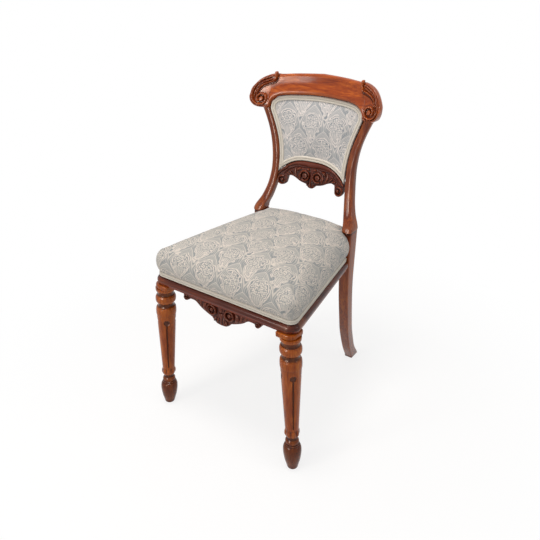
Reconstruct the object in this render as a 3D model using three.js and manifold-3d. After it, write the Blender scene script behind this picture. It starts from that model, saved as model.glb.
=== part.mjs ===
// A side chair with a stuffed seat and a waisted, upholstered back, in turned, sawn and carved hardwood.
// Lengths are in millimetres. X runs across the chair, Y from front to back and Z up from the floor.
// While the pieces are made, Y is 0 at the turning axis of the front legs. The last lines centre the chair.
import * as THREE from 'three';
import { mergeVertices } from 'three/addons/utils/BufferGeometryUtils.js';
import Module from 'manifold-3d';

const wasm = await Module();
wasm.setup();

// Fits
const gap = 0.3; // between two pieces of wood that touch
const softGap = 0.7; // between upholstery and the wood round it
const overrun = 4; // how far a cutter passes the face that it opens
const tuck = 3; // how far a carved piece is sunk into the wood that it grows from
const finestEdge = 0.04; // shorter edges, which cuts leave behind, are merged
const weldReach = 1e-4; // points nearer than this are one point

// Seat frame
const seatHalfFront = 206; // half the width over the front corners, at the rail faces
const seatHalfBack = 146.2; // half the width where the side rails meet the rear posts
const frontFaceSetout = 8.5; // from the leg axis forward to the face of the front rail
const postFrontY = 341; // front face of the rear posts
const railBottomZ = 400;
const railDepth = 44;
const railTopZ = railBottomZ + railDepth;
const mouldHeight = 20.5; // the show-wood moulding at the foot of the rails
const mouldOut = 12;
const cornerRadius = 14; // of the rail faces, seen from above
const tightRadius = 6; // least corner radius of what lies inside them
const frontRailThickness = 27;
const cornerDepth = 40; // the front rail is left this deep at its ends, to take the legs
const cornerLength = 48;
const sideRailThickness = 24;
const rearRailThickness = 24;
const tenonThickness = 10;
const tenonLength = 13;
const tenonShoulder = 8; // above and below a rail tenon

// Front legs
const legInset = 11.5; // from the seat's half width in to the turning axis
const legAxisX = seatHalfFront - legInset; // at the square plate
const legSplay = 20; // how far the foot stands out from the plate
const legRake = 4; // how far the foot stands forward of the plate
const plateSize = 48;
const plateHeight = 13;
const plateCorner = 21; // radius of the outer corner of the plate
const plateRearCorner = 8; // radius of the corner behind it
const plateInset = 3; // how far the plate's middle stands in from the turning axis
const plateEase = 3; // radius of its other corners
const legPinRadius = 8.5;
const legPinInset = 7; // how far the pin stands in from the leg's axis, along X and Y
const legPinLength = 30;
const legRadius = 26.8; // of the widest ring

// Rear legs and stiles
const postStandout = 12.8; // how far the posts stand outside the side rails
const postOuterX = seatHalfBack + postStandout;
const postWidth = 30;
const postDepth = 38;
const toeRise = 61;
const toeZ = railTopZ + toeRise; // underside of the stile where it overhangs the post
const footSweep = 148; // how far the foot stands behind the post
const footInset = 32; // how far the foot stands inside the post
const stileTopInset = 5;
const stileTopX = postOuterX - stileTopInset; // centre of the stile at the crest rail
const stileRake = 52; // how far the stile's front moves back from the post's front
const stileWidth = 25.5;
const stileDepth = 27.5;
const crestTenonWidth = 12;
const crestTenonLength = 15;

// The back: heights are shares of its rise above the toes, and widths are shares of the stiles' spread.
const crestTopZ = 882;
const upBack = (share) => toeZ + share * (crestTopZ - toeZ);
const stileTopZ = upBack(0.748);
const backLowZ = upBack(0.252);
const waistZ = upBack(0.4111);
const shoulderZ = upBack(0.8355);
const backSetback = 45; // from the posts' front to the middle of the back
const backLowY = postFrontY + backSetback; // front of the back, on the centre line, at backLowZ
const backRakeAngle = 7.7 * Math.PI / 180;
const lowBowRadius = 833; // plan radius of the back below its waist
const highBowRadius = 424; // plan radius at the crest rail
const lipWidth = 9; // rebate that the panel is tacked to
const lipFront = 10;
const lipThickness = 8;

// Crest rail
const crestHalfWidth = 1.26 * stileTopX;
const crestThickness = 28;
const crestEndThickness = 6;
const crestTaperX = 0.7526 * crestHalfWidth; // where its back starts to round forward to its ends
const crestFlatX = 0.969 * crestHalfWidth; // outside this the scroll ends face straight forward
const voluteX = 1.0584 * stileTopX;
const voluteZ = upBack(0.8143);
const voluteRadius = 18;
const voluteRibHalf = 4.6;
const voluteRibHeight = 10;

// Back panel
const panelTopZ = upBack(0.8568);
const panelTopHalf = 0.9058 * stileTopX;
const panelCornerX = 0.8896 * stileTopX;
const panelCornerZ = upBack(0.7905);
const panelBottomZ = upBack(0.4032);
const panelBottomHalf = 0.6662 * stileTopX;
const panelFootZ = upBack(0.2918); // lowest corner of the panel
const panelCrown = 9;
const flatShare = 0.08; // the part of the panel, at each edge, that lies flat under the braid

// Cross rail and apron
const crossRailDepth = 16;
const crossRailSetback = 4;
const crossVoluteRadius = 14.5;
const crossVoluteX = panelBottomHalf - 0.87 * crossVoluteRadius;
const crossVoluteZ = upBack(0.2361);
const crossCentreRadius = 14.5;
const crossCentreX = 1.38 * crossCentreRadius;
const crossCentreZ = upBack(0.2865);
const crossRibHalf = 3.6;
const crossRibHeight = 7;
const crossEyeRadius = 5.5;
const pendantZ = upBack(0.2122);
const crossFootRise = 0.361 * (panelBottomZ - pendantZ); // from the pendant to the end scrolls
const apronHalf = 121;
const apronDepth = 14;
const apronFrontY = -9;
const apronDrop = 57;
const apronBottomZ = railBottomZ - apronDrop;
const apronVoluteRadius = 13;
const apronVoluteX = 27;
const apronVoluteZ = apronBottomZ + 0.63 * apronDrop;
const apronRibHalf = 3.4;
const apronRibHeight = 7;
const apronEyeRadius = 4.8;
const apronEndRadius = 9.5;
const apronEndX = apronHalf - 1.05 * apronEndRadius;
const apronEndZ = apronBottomZ + 0.737 * apronDrop;
const apronEndRibHalf = 2.6;
const apronEndRibHeight = 5;

// Upholstery
const seatBackY = backLowY;
const seatHeight = 52; // from the rails up to the seat's shoulder
const seatDome = 28; // from the shoulder up to the crown
const seatShoulderZ = railTopZ + seatHeight;
const seatCrownZ = seatShoulderZ + seatDome;
const seatBulge = 12;
const seatBackRise = 8; // how much higher the seat's shoulder lies at the back
const clothThickness = 1.5;
const webWidth = 50;
const webThickness = 1.6;
const hessianThickness = 1;
const gimpWidth = 12;
const gimpThickness = 2.6;

// Fixings
const blockLeg = 38; // corner blocks, along each rail
const blockHeight = 24;
const blockDrop = 8; // below the top of the rails
const screwLength = 34;
const screwRadius = 2.2;
const screwHeadRadius = 4.2;
const screwHeadHeight = 3;
const glueBlockSize = 18;
const glueBlockLength = 40;
const glueBlockX = 55;

// Finishes
const finishes = {
  polished: { color: 0x8a4423, roughness: 0.32, metalness: 0 },
  legs: { color: 0x935030, roughness: 0.34, metalness: 0 },
  carved: { color: 0x5b2a1a, roughness: 0.42, metalness: 0 },
  beech: { color: 0xb98f5f, roughness: 0.7, metalness: 0 },
  steel: { color: 0x7c7c7a, roughness: 0.45, metalness: 1 },
  damask: { color: 0xc9cdca, roughness: 0.85, metalness: 0 },
  braid: { color: 0xd9d1bb, roughness: 0.8, metalness: 0 },
  hessian: { color: 0xa58a5e, roughness: 0.95, metalness: 0 },
  webbing: { color: 0xc2b08a, roughness: 0.95, metalness: 0 },
  stuffing: { color: 0x6d5a44, roughness: 1, metalness: 0 },
};

// Small mathematics
const lerp = THREE.MathUtils.lerp;
const mirror = (side, x) => (side === 'left' ? -x : x);
const sides = ['left', 'right'];

// Reads column `column` of a table whose first column rises, on a smooth curve through its rows.
function readTable(table, at, column) {
  const last = table.length - 1;
  const clamped = Math.min(Math.max(at, table[0][0]), table[last][0]);
  let row = 0;
  while (row < last - 1 && table[row + 1][0] < clamped) row += 1;
  const [before, start, end, after] = [row - 1, row, row + 1, row + 2]
    .map((index) => table[Math.min(Math.max(index, 0), last)]);
  const span = end[0] - start[0];
  const t = (clamped - start[0]) / span;
  const slopeIn = (end[column] - before[column]) / (end[0] - before[0]) * span;
  const slopeOut = (after[column] - start[column]) / (after[0] - start[0]) * span;
  const rise = end[column] - start[column];
  const [square, cube] = [3 * rise - 2 * slopeIn - slopeOut, slopeIn + slopeOut - 2 * rise];
  return start[column] + t * (slopeIn + t * (square + t * cube));
}

// Closed solids

function signedVolume(geometry) {
  const position = geometry.getAttribute('position');
  const [a, b, c] = [new THREE.Vector3(), new THREE.Vector3(), new THREE.Vector3()];
  let sum = 0;
  for (let corner = 0; corner < geometry.index.count; corner += 3) {
    a.fromBufferAttribute(position, geometry.index.getX(corner));
    b.fromBufferAttribute(position, geometry.index.getX(corner + 1));
    c.fromBufferAttribute(position, geometry.index.getX(corner + 2));
    sum += a.dot(b.cross(c));
  }
  return sum;
}

// Turns a closed geometry into a solid whose faces point out.
function solid(geometry) {
  const bare = geometry.clone();
  bare.deleteAttribute('normal');
  bare.deleteAttribute('uv');
  const welded = mergeVertices(bare, weldReach);
  const triVerts = new Uint32Array(welded.index.array);
  if (signedVolume(welded) < 0) {
    for (let corner = 0; corner < triVerts.length; corner += 3) {
      [triVerts[corner], triVerts[corner + 1]] = [triVerts[corner + 1], triVerts[corner]];
    }
  }
  const vertProperties = new Float32Array(welded.getAttribute('position').array);
  return new wasm.Manifold(new wasm.Mesh({ numProp: 3, vertProperties, triVerts }));
}

function geometryOf(body) {
  const mesh = body.simplify(finestEdge).getMesh();
  const geometry = new THREE.BufferGeometry();
  geometry.setAttribute('position', new THREE.BufferAttribute(new Float32Array(mesh.vertProperties), 3));
  geometry.setIndex(new THREE.BufferAttribute(new Uint32Array(mesh.triVerts), 1));
  geometry.computeVertexNormals();
  return geometry;
}

// Triangles that close a ring of points, in the ring's own order.
function capFaces(ring) {
  const normal = new THREE.Vector3();
  ring.forEach((point, index) => {
    const next = ring[(index + 1) % ring.length];
    normal.x += (point.y - next.y) * (point.z + next.z);
    normal.y += (point.z - next.z) * (point.x + next.x);
    normal.z += (point.x - next.x) * (point.y + next.y);
  });
  normal.normalize();
  const axis = Math.abs(normal.z) > 0.6 ? new THREE.Vector3(1, 0, 0) : new THREE.Vector3(0, 0, 1);
  const across = new THREE.Vector3().crossVectors(axis, normal).normalize();
  const along = new THREE.Vector3().crossVectors(normal, across);
  const flat = ring.map((point) => new THREE.Vector2(point.dot(across), point.dot(along)));
  const faces = THREE.ShapeUtils.triangulateShape(flat, []);
  const forward = THREE.ShapeUtils.area(flat) > 0;
  return faces.map(([a, b, c]) => (forward ? [a, b, c] : [a, c, b]));
}

// A closed body through rings that all have the same number of points.
// A body that comes back to its first ring, such as a braid round a panel, needs no caps.
function loft(rings, closed = false) {
  const count = rings[0].length;
  const faces = [];
  const spans = closed ? rings.length : rings.length - 1;
  for (let ring = 0; ring < spans; ring += 1) {
    const [low, high] = [ring * count, ((ring + 1) % rings.length) * count];
    for (let point = 0; point < count; point += 1) {
      const next = (point + 1) % count;
      faces.push([low + point, low + next, high + next], [low + point, high + next, high + point]);
    }
  }
  if (!closed) {
    const top = (rings.length - 1) * count;
    capFaces(rings[0]).forEach(([a, b, c]) => faces.push([a, c, b]));
    capFaces(rings.at(-1)).forEach(([a, b, c]) => faces.push([top + a, top + b, top + c]));
  }
  const geometry = new THREE.BufferGeometry();
  const numbers = rings.flat().flatMap((point) => [point.x, point.y, point.z]);
  geometry.setAttribute('position', new THREE.Float32BufferAttribute(numbers, 3));
  geometry.setIndex(faces.flat());
  return solid(geometry);
}

function box(x0, x1, y0, y1, z0, z1) {
  const geometry = new THREE.BoxGeometry(Math.abs(x1 - x0), y1 - y0, z1 - z0);
  geometry.translate((x0 + x1) / 2, (y0 + y1) / 2, (z0 + z1) / 2);
  return solid(geometry);
}

function join(bodies) {
  return bodies.reduce((whole, body) => whole.add(body));
}

// The seat's plan

const seatTaper = (seatHalfFront - seatHalfBack) / (postFrontY + frontFaceSetout);
const sideAngle = Math.atan(seatTaper);
const seatHalfAt = (y) => seatHalfFront - (y + frontFaceSetout) * seatTaper;

// Points from the back left round the front to the back right, `offset` outside the rail faces.
function seatEdge(offset, backY, cornerSteps, sideSteps, frontSteps) {
  const radius = Math.max(cornerRadius + offset, tightRadius);
  const centreY = radius - offset - frontFaceSetout;
  const centreX = seatHalfAt(centreY) + (offset - radius) / Math.cos(sideAngle);
  const right = [];
  for (let step = 0; step <= cornerSteps; step += 1) {
    const angle = lerp(-Math.PI / 2, sideAngle, step / cornerSteps);
    right.push([centreX + radius * Math.cos(angle), centreY + radius * Math.sin(angle)]);
  }
  const [startX, startY] = right.at(-1);
  const endX = seatHalfAt(backY) + offset / Math.cos(sideAngle);
  for (let step = 1; step <= sideSteps; step += 1) {
    right.push([lerp(startX, endX, step / sideSteps), lerp(startY, backY, step / sideSteps)]);
  }
  const front = [];
  for (let step = 1; step < frontSteps; step += 1) {
    front.push([lerp(-right[0][0], right[0][0], step / frontSteps), right[0][1]]);
  }
  const left = right.map(([x, y]) => [-x, y]).reverse();
  return [...left, ...front, ...right];
}

// The moulding as shares of how far it stands out and of its height: a flat fillet under a thumb.
const mouldShares = [
  [0.8, 0], [0.8, 0.2], [0.93, 0.25], [1, 0.42], [0.96, 0.62],
  [0.82, 0.8], [0.55, 0.93], [0.25, 0.99], [0, 1],
];
const mouldProfile = mouldShares.map(([out, up]) => [out * mouldOut, railBottomZ + up * mouldHeight]);
const mouldTopZ = railBottomZ + mouldHeight;

// Rails of the seat frame

const frontRailBackY = cornerDepth - frontFaceSetout;
const cornerInnerX = seatHalfAt(frontRailBackY) - cornerLength;

function frontSeatRail() {
  const coveStartX = cornerInnerX - (cornerDepth - frontRailThickness);
  const inner = [
    [cornerInnerX, frontRailBackY],
    [lerp(cornerInnerX, coveStartX, 0.3), lerp(frontRailBackY, frontRailThickness - frontFaceSetout, 0.65)],
    [coveStartX, frontRailThickness - frontFaceSetout],
  ];
  const innerLoop = [...inner, ...inner.map(([x, y]) => [-x, y]).reverse()];
  const levels = [...mouldProfile, [0, railTopZ]];
  const rings = levels.map(([offset, z]) => [...seatEdge(offset, frontRailBackY, 6, 1, 1), ...innerLoop]
    .map(([x, y]) => new THREE.Vector3(x, y, z)));
  let rail = loft(rings);
  for (const side of sides) {
    rail = rail.subtract(sideTenon(side, gap)).subtract(legPin(side, gap));
  }
  return rail;
}

// The middle of a side rail's thickness at y, on the right of the chair.
const sideRailMiddleX = (y) => seatHalfAt(y) - sideRailThickness / 2 / Math.cos(sideAngle);

// A tenon on the front end of a side rail, grown by `clearance` when it cuts its mortise.
function sideTenon(side, clearance) {
  const half = tenonThickness / 2 + clearance;
  const startY = frontRailBackY + (clearance ? overrun : tuck);
  const endY = frontRailBackY - tenonLength - clearance;
  const [low, high] = [railBottomZ + tenonShoulder - clearance, railTopZ - tenonShoulder + clearance];
  const rings = [startY, endY].map((y) => [[-half, low], [half, low], [half, high], [-half, high]]
    .map(([across, z]) => new THREE.Vector3(mirror(side, sideRailMiddleX(y) + across), y, z)));
  return loft(rings);
}

function sideRailBackTenon(side, clearance) {
  const half = tenonThickness / 2 + clearance;
  const middle = seatHalfAt(postFrontY) - 0.8 * tenonThickness;
  const [low, high] = [railBottomZ + tenonShoulder - clearance, railTopZ - tenonShoulder + clearance];
  const startY = postFrontY - (clearance ? overrun : tuck + gap);
  const x = mirror(side, middle);
  return box(x - half, x + half, startY, postFrontY + tenonLength + clearance, low, high);
}

function sideSeatRail(side) {
  const inner = -sideRailThickness;
  const profile = [[inner, railBottomZ], ...mouldProfile, [0, railTopZ], [inner, railTopZ]];
  const place = ([offset, z], y) => new THREE.Vector3(
    mirror(side, seatHalfAt(y) + offset / Math.cos(sideAngle)), y, z);
  const rings = [frontRailBackY + gap, postFrontY - gap].map((y) => profile.map((point) => place(point, y)));
  return join([loft(rings), sideTenon(side, 0), sideRailBackTenon(side, 0)]);
}

const rearRailFrontY = postFrontY + tenonLength + 1.5 * gap;

function rearRailTenons(clearance) {
  const reach = postOuterX - postWidth + tenonLength + clearance;
  const middleY = rearRailFrontY + rearRailThickness / 2;
  const half = tenonThickness / 2 + clearance;
  return box(-reach, reach, middleY - half, middleY + half,
    railBottomZ + tenonShoulder - clearance, railTopZ - tenonShoulder + clearance);
}

function rearSeatRail() {
  const half = postOuterX - postWidth - gap;
  const rail = box(-half, half, rearRailFrontY, rearRailFrontY + rearRailThickness, railBottomZ, railTopZ);
  return join([rail, rearRailTenons(0)]);
}

// Front legs

// The turning as shares of its widest radius and of its height, from the floor up to the square plate.
const turningShares = [
  [0, 0], [0.46, 0], [0.5, 0.005], [0.62, 0.035], [0.75, 0.07], [0.835, 0.11], [0.86, 0.145], [0.82, 0.17],
  [0.72, 0.187], [0.66, 0.192], [0.66, 0.199], [0.58, 0.203], [0.6, 0.225], [0.53, 0.237], [0.44, 0.244],
  [0.44, 0.256], [0.55, 0.268], [0.66, 0.283], [0.67, 0.3], [0.62, 0.315], [0.645, 0.33], [0.95, 0.79],
  [0.99, 0.8], [1, 0.82], [0.97, 0.838], [0.86, 0.848], [0.76, 0.853], [0.74, 0.872], [0.83, 0.883],
  [0.95, 0.893], [0.99, 0.91], [0.95, 0.928], [0.82, 0.938], [0.78, 0.945], [0.78, 0.96], [0.86, 0.972],
  [0.94, 0.985], [0.94, 1], [0, 1],
];
const turningSteps = 16;
const plateBottomZ = railBottomZ - gap - plateHeight;

// Leans a solid made on the Z axis onto the leg's own line, from its plate down to its foot.
function leanLeg(body, side) {
  return body.warp((point) => {
    const fall = 1 - Math.min(point[2] / plateBottomZ, 1);
    point[0] += mirror(side, legAxisX + legSplay * fall);
    point[1] -= legRake * fall;
  });
}

function legPin(side, clearance) {
  const height = legPinLength + clearance + tuck + (clearance ? overrun : 0);
  const radius = legPinRadius + clearance;
  const pin = new THREE.CylinderGeometry(radius, radius, height, turningSteps);
  pin.rotateX(Math.PI / 2);
  const topZ = railBottomZ + legPinLength + clearance;
  pin.translate(mirror(side, legAxisX - legPinInset), legPinInset, topZ - height / 2);
  return solid(pin);
}

function squarePlate(side) {
  const half = plateSize / 2;
  const outline = new THREE.Shape();
  outline.moveTo(-half + plateEase, -half);
  outline.lineTo(half - plateCorner, -half);
  outline.absarc(half - plateCorner, -half + plateCorner, plateCorner, -Math.PI / 2, 0);
  outline.lineTo(half, half - plateRearCorner);
  outline.absarc(half - plateRearCorner, half - plateRearCorner, plateRearCorner, 0, Math.PI / 2);
  outline.lineTo(-half + plateEase, half);
  outline.lineTo(-half, half - plateEase);
  outline.lineTo(-half, -half + plateEase);
  const ring = outline.getPoints(4).slice(0, -1);
  const easeShares = [[0.94, 0], [1, 0.22], [1, 0.78], [0.94, 1]];
  return loft(easeShares.map(([size, up]) => ring.map((point) => new THREE.Vector3(
    mirror(side, legAxisX - plateInset + point.x * size), point.y * size, plateBottomZ + up * plateHeight))));
}

function frontLeg(side) {
  const height = plateBottomZ + tuck;
  const profile = turningShares.map(([out, up]) => new THREE.Vector2(out * legRadius, up * height));
  const turning = new THREE.LatheGeometry(profile, turningSteps);
  turning.rotateX(Math.PI / 2);
  return join([leanLeg(solid(turning), side), squarePlate(side), legPin(side, 0)]);
}

// Rear legs and stiles

// Height, backward sweep, inset, width and depth, as shares of toeZ, footSweep, footInset and the post's own
// width and depth.
const legShares = [
  [0, 1, 1, 0.87, 1.1], [0.012, 0.985, 0.98, 0.87, 1.08], [0.1, 0.797, 0.857, 0.9, 0.9],
  [0.2, 0.628, 0.714, 0.96, 0.86], [0.3, 0.466, 0.536, 1, 0.82], [0.4, 0.331, 0.357, 1, 0.815],
  [0.5, 0.213, 0.214, 1, 0.83], [0.6, 0.116, 0.107, 1, 0.855], [0.7, 0.05, 0.036, 1, 0.88],
  [0.8, 0.01, 0, 1, 0.95], [0.88, 0, 0, 1, 1], [1, 0, 0, 1, 1],
];

// Height above the toe, place across, rake, width and depth, as shares of the stile's own sizes.
const stileShares = [
  [0, 0.946, -0.134, 1.2, 1.67], [0.053, 0.928, 0.03, 1.13, 1.42], [0.124, 0.872, 0.31, 1.07, 1.14],
  [0.195, 0.832, 0.49, 1.03, 1.05], [0.266, 0.801, 0.63, 1, 1.02], [0.337, 0.781, 0.73, 0.98, 1],
  [0.408, 0.767, 0.8, 0.96, 0.98], [0.479, 0.763, 0.84, 0.94, 0.95], [0.55, 0.766, 0.865, 0.92, 0.9],
  [0.621, 0.779, 0.89, 0.9, 0.85], [0.691, 0.8, 0.915, 0.88, 0.79], [0.762, 0.832, 0.94, 0.86, 0.73],
  [0.833, 0.874, 0.962, 0.85, 0.68], [0.904, 0.925, 0.972, 0.86, 0.65], [0.957, 0.966, 0.97, 0.89, 0.64],
  [1, 1, 0.96, 0.93, 0.64],
];
const stileRise = stileTopZ - toeZ;
const roundedShare = 0.25; // of the stile's rise, where its back edges are fully rounded
const stileAt = (z) => {
  const up = (z - toeZ) / stileRise;
  const [centre, rake, width, depth] = [1, 2, 3, 4].map((column) => readTable(stileShares, up, column));
  const half = width * stileWidth / 2;
  const [inner, outer] = [centre * stileTopX - half, centre * stileTopX + half];
  return { inner, outer, frontY: postFrontY + rake * stileRake, depth: depth * stileDepth };
};

// A section with rounded edges: `front` and `back` are how deep the roundings run, as shares of the depth.
function postRing(side, z, inner, outer, frontY, depth, front, back) {
  const acrossShares = [0, 0.13, 0.36, 0.64, 0.87, 1, 1, 1 - back * 0.8, back * 0.8, 0];
  const depthShares = [front, front * 0.3, 0, 0, front * 0.3, front, 1 - back, 1, 1, 1 - back];
  return acrossShares.map((across, index) => new THREE.Vector3(
    mirror(side, lerp(inner, outer, across)), frontY + depth * depthShares[index], z));
}

function rearLeg(side) {
  const [squareShare, frontShare, backShare] = [0.08, 0.32, 0.3];
  const rings = legShares.map(([up, sweep, inset, width, depth]) => {
    const outer = postOuterX - inset * footInset;
    return postRing(side, up * toeZ, outer - width * postWidth, outer, postFrontY + sweep * footSweep,
      depth * postDepth, squareShare, squareShare);
  });
  stileShares.forEach(([up]) => {
    const z = toeZ + up * stileRise;
    const { inner, outer, frontY, depth } = stileAt(z);
    rings.push(postRing(side, z, inner, outer, frontY, depth, up === 0 ? frontShare / 2 : frontShare,
      lerp(squareShare, backShare, Math.min(up / roundedShare, 1))));
  });
  let leg = join([loft(rings), stileLip(side), crestTenon(side, 0)]);
  leg = leg.subtract(sideRailBackTenon(side, gap)).subtract(rearRailTenons(gap));
  return leg.subtract(crossRailTenons(gap));
}

// The tenon that enters the underside of the crest rail.
function crestTenon(side, clearance) {
  const { frontY, depth } = stileAt(stileTopZ);
  const half = crestTenonWidth / 2 + clearance;
  const [x, y] = [mirror(side, stileTopX), frontY + depth / 2];
  const topZ = stileTopZ + crestTenonLength + clearance;
  return box(x - half, x + half, y - half, y + half, stileTopZ - tuck, topZ);
}

// The back's surface

const bowAt = (z) => {
  const up = THREE.MathUtils.smoothstep(z, waistZ, shoulderZ);
  return lerp(1 / lowBowRadius, 1 / highBowRadius, up) / 2;
};
const backY = (x, z) => backLowY + (z - backLowZ) * Math.tan(backRakeAngle) - bowAt(z) * x * x;

// Back panel outline: the top falls away to round corners, the sides follow the stiles, the foot is arched.
const panelTopShares = [
  [0, 0], [0.22, 0.03], [0.44, 0.09], [0.64, 0.16], [0.78, 0.27], [0.87, 0.42], [0.94, 0.67], [1, 1],
];
const panelFootShares = [
  [0, 0], [0.2, 0.006], [0.39, 0.055], [0.585, 0.195], [0.78, 0.455], [0.925, 0.745], [1, 1],
];
const panelTopAt = (x) => panelTopZ
  - readTable(panelTopShares, Math.abs(x) / panelCornerX, 1) * (panelTopZ - panelCornerZ);
const panelFootAt = (x) => panelBottomZ
  - readTable(panelFootShares, Math.abs(x) / panelBottomHalf, 1) * (panelBottomZ - panelFootZ);
const panelSideAt = (z) => {
  const meeting = panelCornerZ - (panelTopHalf - panelCornerX) * 5;
  const free = Math.min(stileAt(Math.min(z, meeting)).inner - softGap, panelTopHalf);
  return z <= meeting ? free : lerp(free, panelCornerX, (z - meeting) / (panelCornerZ - meeting));
};

// A point of the panel: `across` and `up` run from 0 to 1 between its sides and between its foot and top.
function panelPoint(across, up) {
  const sideZ = lerp(panelFootZ, panelCornerZ, up);
  const sideX = up === 0 ? panelBottomHalf : panelSideAt(sideZ);
  const acrossSigned = 2 * across - 1;
  const footX = acrossSigned * panelBottomHalf;
  const topX = acrossSigned * panelCornerX;
  const x = acrossSigned * sideX;
  const straight = lerp(panelFootZ, panelCornerZ, up);
  const z = straight + lerp(panelFootAt(footX) - panelFootZ, panelTopAt(topX) - panelCornerZ, up);
  return [x, z];
}

// The shares of a grid's lines: the first and last spans lie under the braid, where the panel is flat.
const gridShare = (line, lines) => {
  if (line === 0 || line === lines) return line / lines;
  return lerp(flatShare, 1 - flatShare, (line - 1) / (lines - 2));
};

// A curved slab that fills the panel, inset by a share of its size, between two depths behind the surface.
function panelSlab(insetShare, frontDepth, rearDepth, columns, rows) {
  const grid = [];
  for (let row = 0; row <= rows; row += 1) {
    for (let column = 0; column <= columns; column += 1) {
      grid.push([gridShare(column, columns), gridShare(row, rows)]
        .map((share) => lerp(insetShare, 1 - insetShare, share)));
    }
  }
  const at = ([across, up], depth) => {
    const [x, z] = panelPoint(across, up);
    return [x, backY(x, z) + depth(across, up), z];
  };
  const numbers = [frontDepth, rearDepth].flatMap((depth) => grid.flatMap((place) => at(place, depth)));
  const width = columns + 1;
  const rear = grid.length;
  const faces = [];
  for (let row = 0; row < rows; row += 1) {
    for (let column = 0; column < columns; column += 1) {
      const a = row * width + column;
      const b = rear + a;
      faces.push(a, a + 1, a + width + 1, a, a + width + 1, a + width);
      faces.push(b, b + width + 1, b + 1, b, b + width, b + width + 1);
    }
  }
  const wall = (a, b) => faces.push(b, a, rear + a, b, rear + a, rear + b);
  for (let column = 0; column < columns; column += 1) {
    wall(column, column + 1);
    wall(rows * width + column + 1, rows * width + column);
  }
  for (let row = 0; row < rows; row += 1) {
    wall((row + 1) * width, row * width);
    wall(row * width + columns, (row + 1) * width + columns);
  }
  const geometry = new THREE.BufferGeometry();
  geometry.setAttribute('position', new THREE.Float32BufferAttribute(numbers, 3));
  geometry.setIndex(faces);
  return solid(geometry);
}

// The rebate lips that the panel is tacked to.
function stileLip(side) {
  const lipFootZ = panelFootZ + 2.5 * lipWidth;
  const steps = 8;
  const rings = [];
  for (let step = 0; step <= steps; step += 1) {
    const z = lerp(lipFootZ, stileTopZ - lipWidth, step / steps);
    const { inner } = stileAt(z);
    const [near, far] = [inner - lipWidth, inner + tuck];
    rings.push([[near, 0], [far, 0], [far, lipThickness], [near, lipThickness]]
      .map(([x, depth]) => new THREE.Vector3(mirror(side, x), backY(x, z) + lipFront + depth, z)));
  }
  return loft(rings);
}

function archLip(edgeAt, halfLength, inward) {
  const steps = 14;
  const rings = [];
  for (let step = 0; step <= steps; step += 1) {
    const x = lerp(-halfLength, halfLength, step / steps);
    const [near, far] = [edgeAt(x) + inward * lipWidth, edgeAt(x) - inward * tuck];
    const place = (z, depth) => new THREE.Vector3(x, backY(x, z) + lipFront + depth, z);
    rings.push([place(near, 0), place(far, 0), place(far, lipThickness), place(near, lipThickness)]);
  }
  return loft(rings);
}

// Carving

// A raised rib on a board's face: `route` holds [x, z, half width, height] in order along the rib.
// It swells to its full width and dies away to a point at its ends.
function rib(route, faceAt, ringSides) {
  const rings = route.map(([x, z, half, height], index) => {
    const [before, after] = [route[Math.max(index - 1, 0)], route[Math.min(index + 1, route.length - 1)]];
    const along = new THREE.Vector2(after[0] - before[0], after[1] - before[1]).normalize();
    const ring = [];
    for (let step = 0; step < ringSides; step += 1) {
      const angle = 2 * Math.PI * step / ringSides;
      const across = half * Math.cos(angle);
      const [px, pz] = [x - along.y * across, z + along.x * across];
      ring.push(new THREE.Vector3(px, faceAt(x, z) + height * Math.sin(angle), pz));
    }
    return ring;
  });
  return loft(rings);
}

// Smooths a few hand-set places along a rib into `steps` places.
function smoothRoute(places, steps) {
  const curve = (pairs) => new THREE.CatmullRomCurve3(pairs.map(([a, b]) => new THREE.Vector3(a, b, 0)));
  const middle = curve(places);
  const size = curve(places.map(([, , half, height]) => [half, height]));
  return Array.from({ length: steps + 1 }, (_, step) => {
    const [at, width] = [middle.getPoint(step / steps), size.getPoint(step / steps)];
    return [at.x, at.y, Math.max(width.x, gap), Math.max(width.y, gap)];
  });
}

// The places of a scroll that winds inward round [x, z], from `startAngle` over `turns`.
function scrollPlaces(x, z, radius, ribHalf, height, startAngle, turns, steps) {
  return Array.from({ length: steps + 1 }, (_, step) => {
    const t = step / steps;
    const reach = lerp(radius - ribHalf, radius * 0.42, t);
    const angle = startAngle + t * turns * 2 * Math.PI;
    const half = lerp(ribHalf, ribHalf * 0.7, t);
    return [x + reach * Math.cos(angle), z + reach * Math.sin(angle), half, height];
  });
}

// The button at the eye of a scroll.
function boss(x, z, radius, height, faceAt) {
  const ball = new THREE.SphereGeometry(1, 9, 5);
  ball.scale(radius, height, radius);
  ball.translate(x, faceAt(x, z), z);
  return solid(ball);
}

// Crest rail

// The lower edge of the crest: over the panel, down its round corner, along the stile's end and up under
// the scroll.
function crestFootAt(x) {
  const stile = stileAt(stileTopZ);
  if (x <= panelCornerX) return panelTopAt(x) + softGap;
  if (x <= stile.inner) {
    const across = (x - panelCornerX) / (stile.inner - panelCornerX);
    return lerp(panelCornerZ + softGap, stileTopZ + gap, across);
  }
  if (x <= stile.outer) return stileTopZ + gap;
  const across = (x - stile.outer) / (crestHalfWidth - stile.outer);
  return lerp(stileTopZ + gap, scrollEndZ, 1 - Math.sqrt(1 - across * across));
}
const scrollEndZ = voluteZ + 0.75 * voluteRadius;

// Top edge as shares of the half width and of the fall from the middle to the scroll's outer end.
const crestTopShares = [
  [0, 0], [0.2, 0.035], [0.4, 0.075], [0.6, 0.13], [0.69, 0.12],
  [0.79, 0.21], [0.88, 0.39], [0.96, 0.7], [0.985, 0.86], [1, 1],
];
const crestTopAt = (x) => lerp(crestTopZ, scrollEndZ, readTable(crestTopShares, x / crestHalfWidth, 1));

const crestFaceAt = (x, z) => backY(Math.min(Math.abs(x), crestFlatX), z);

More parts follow.
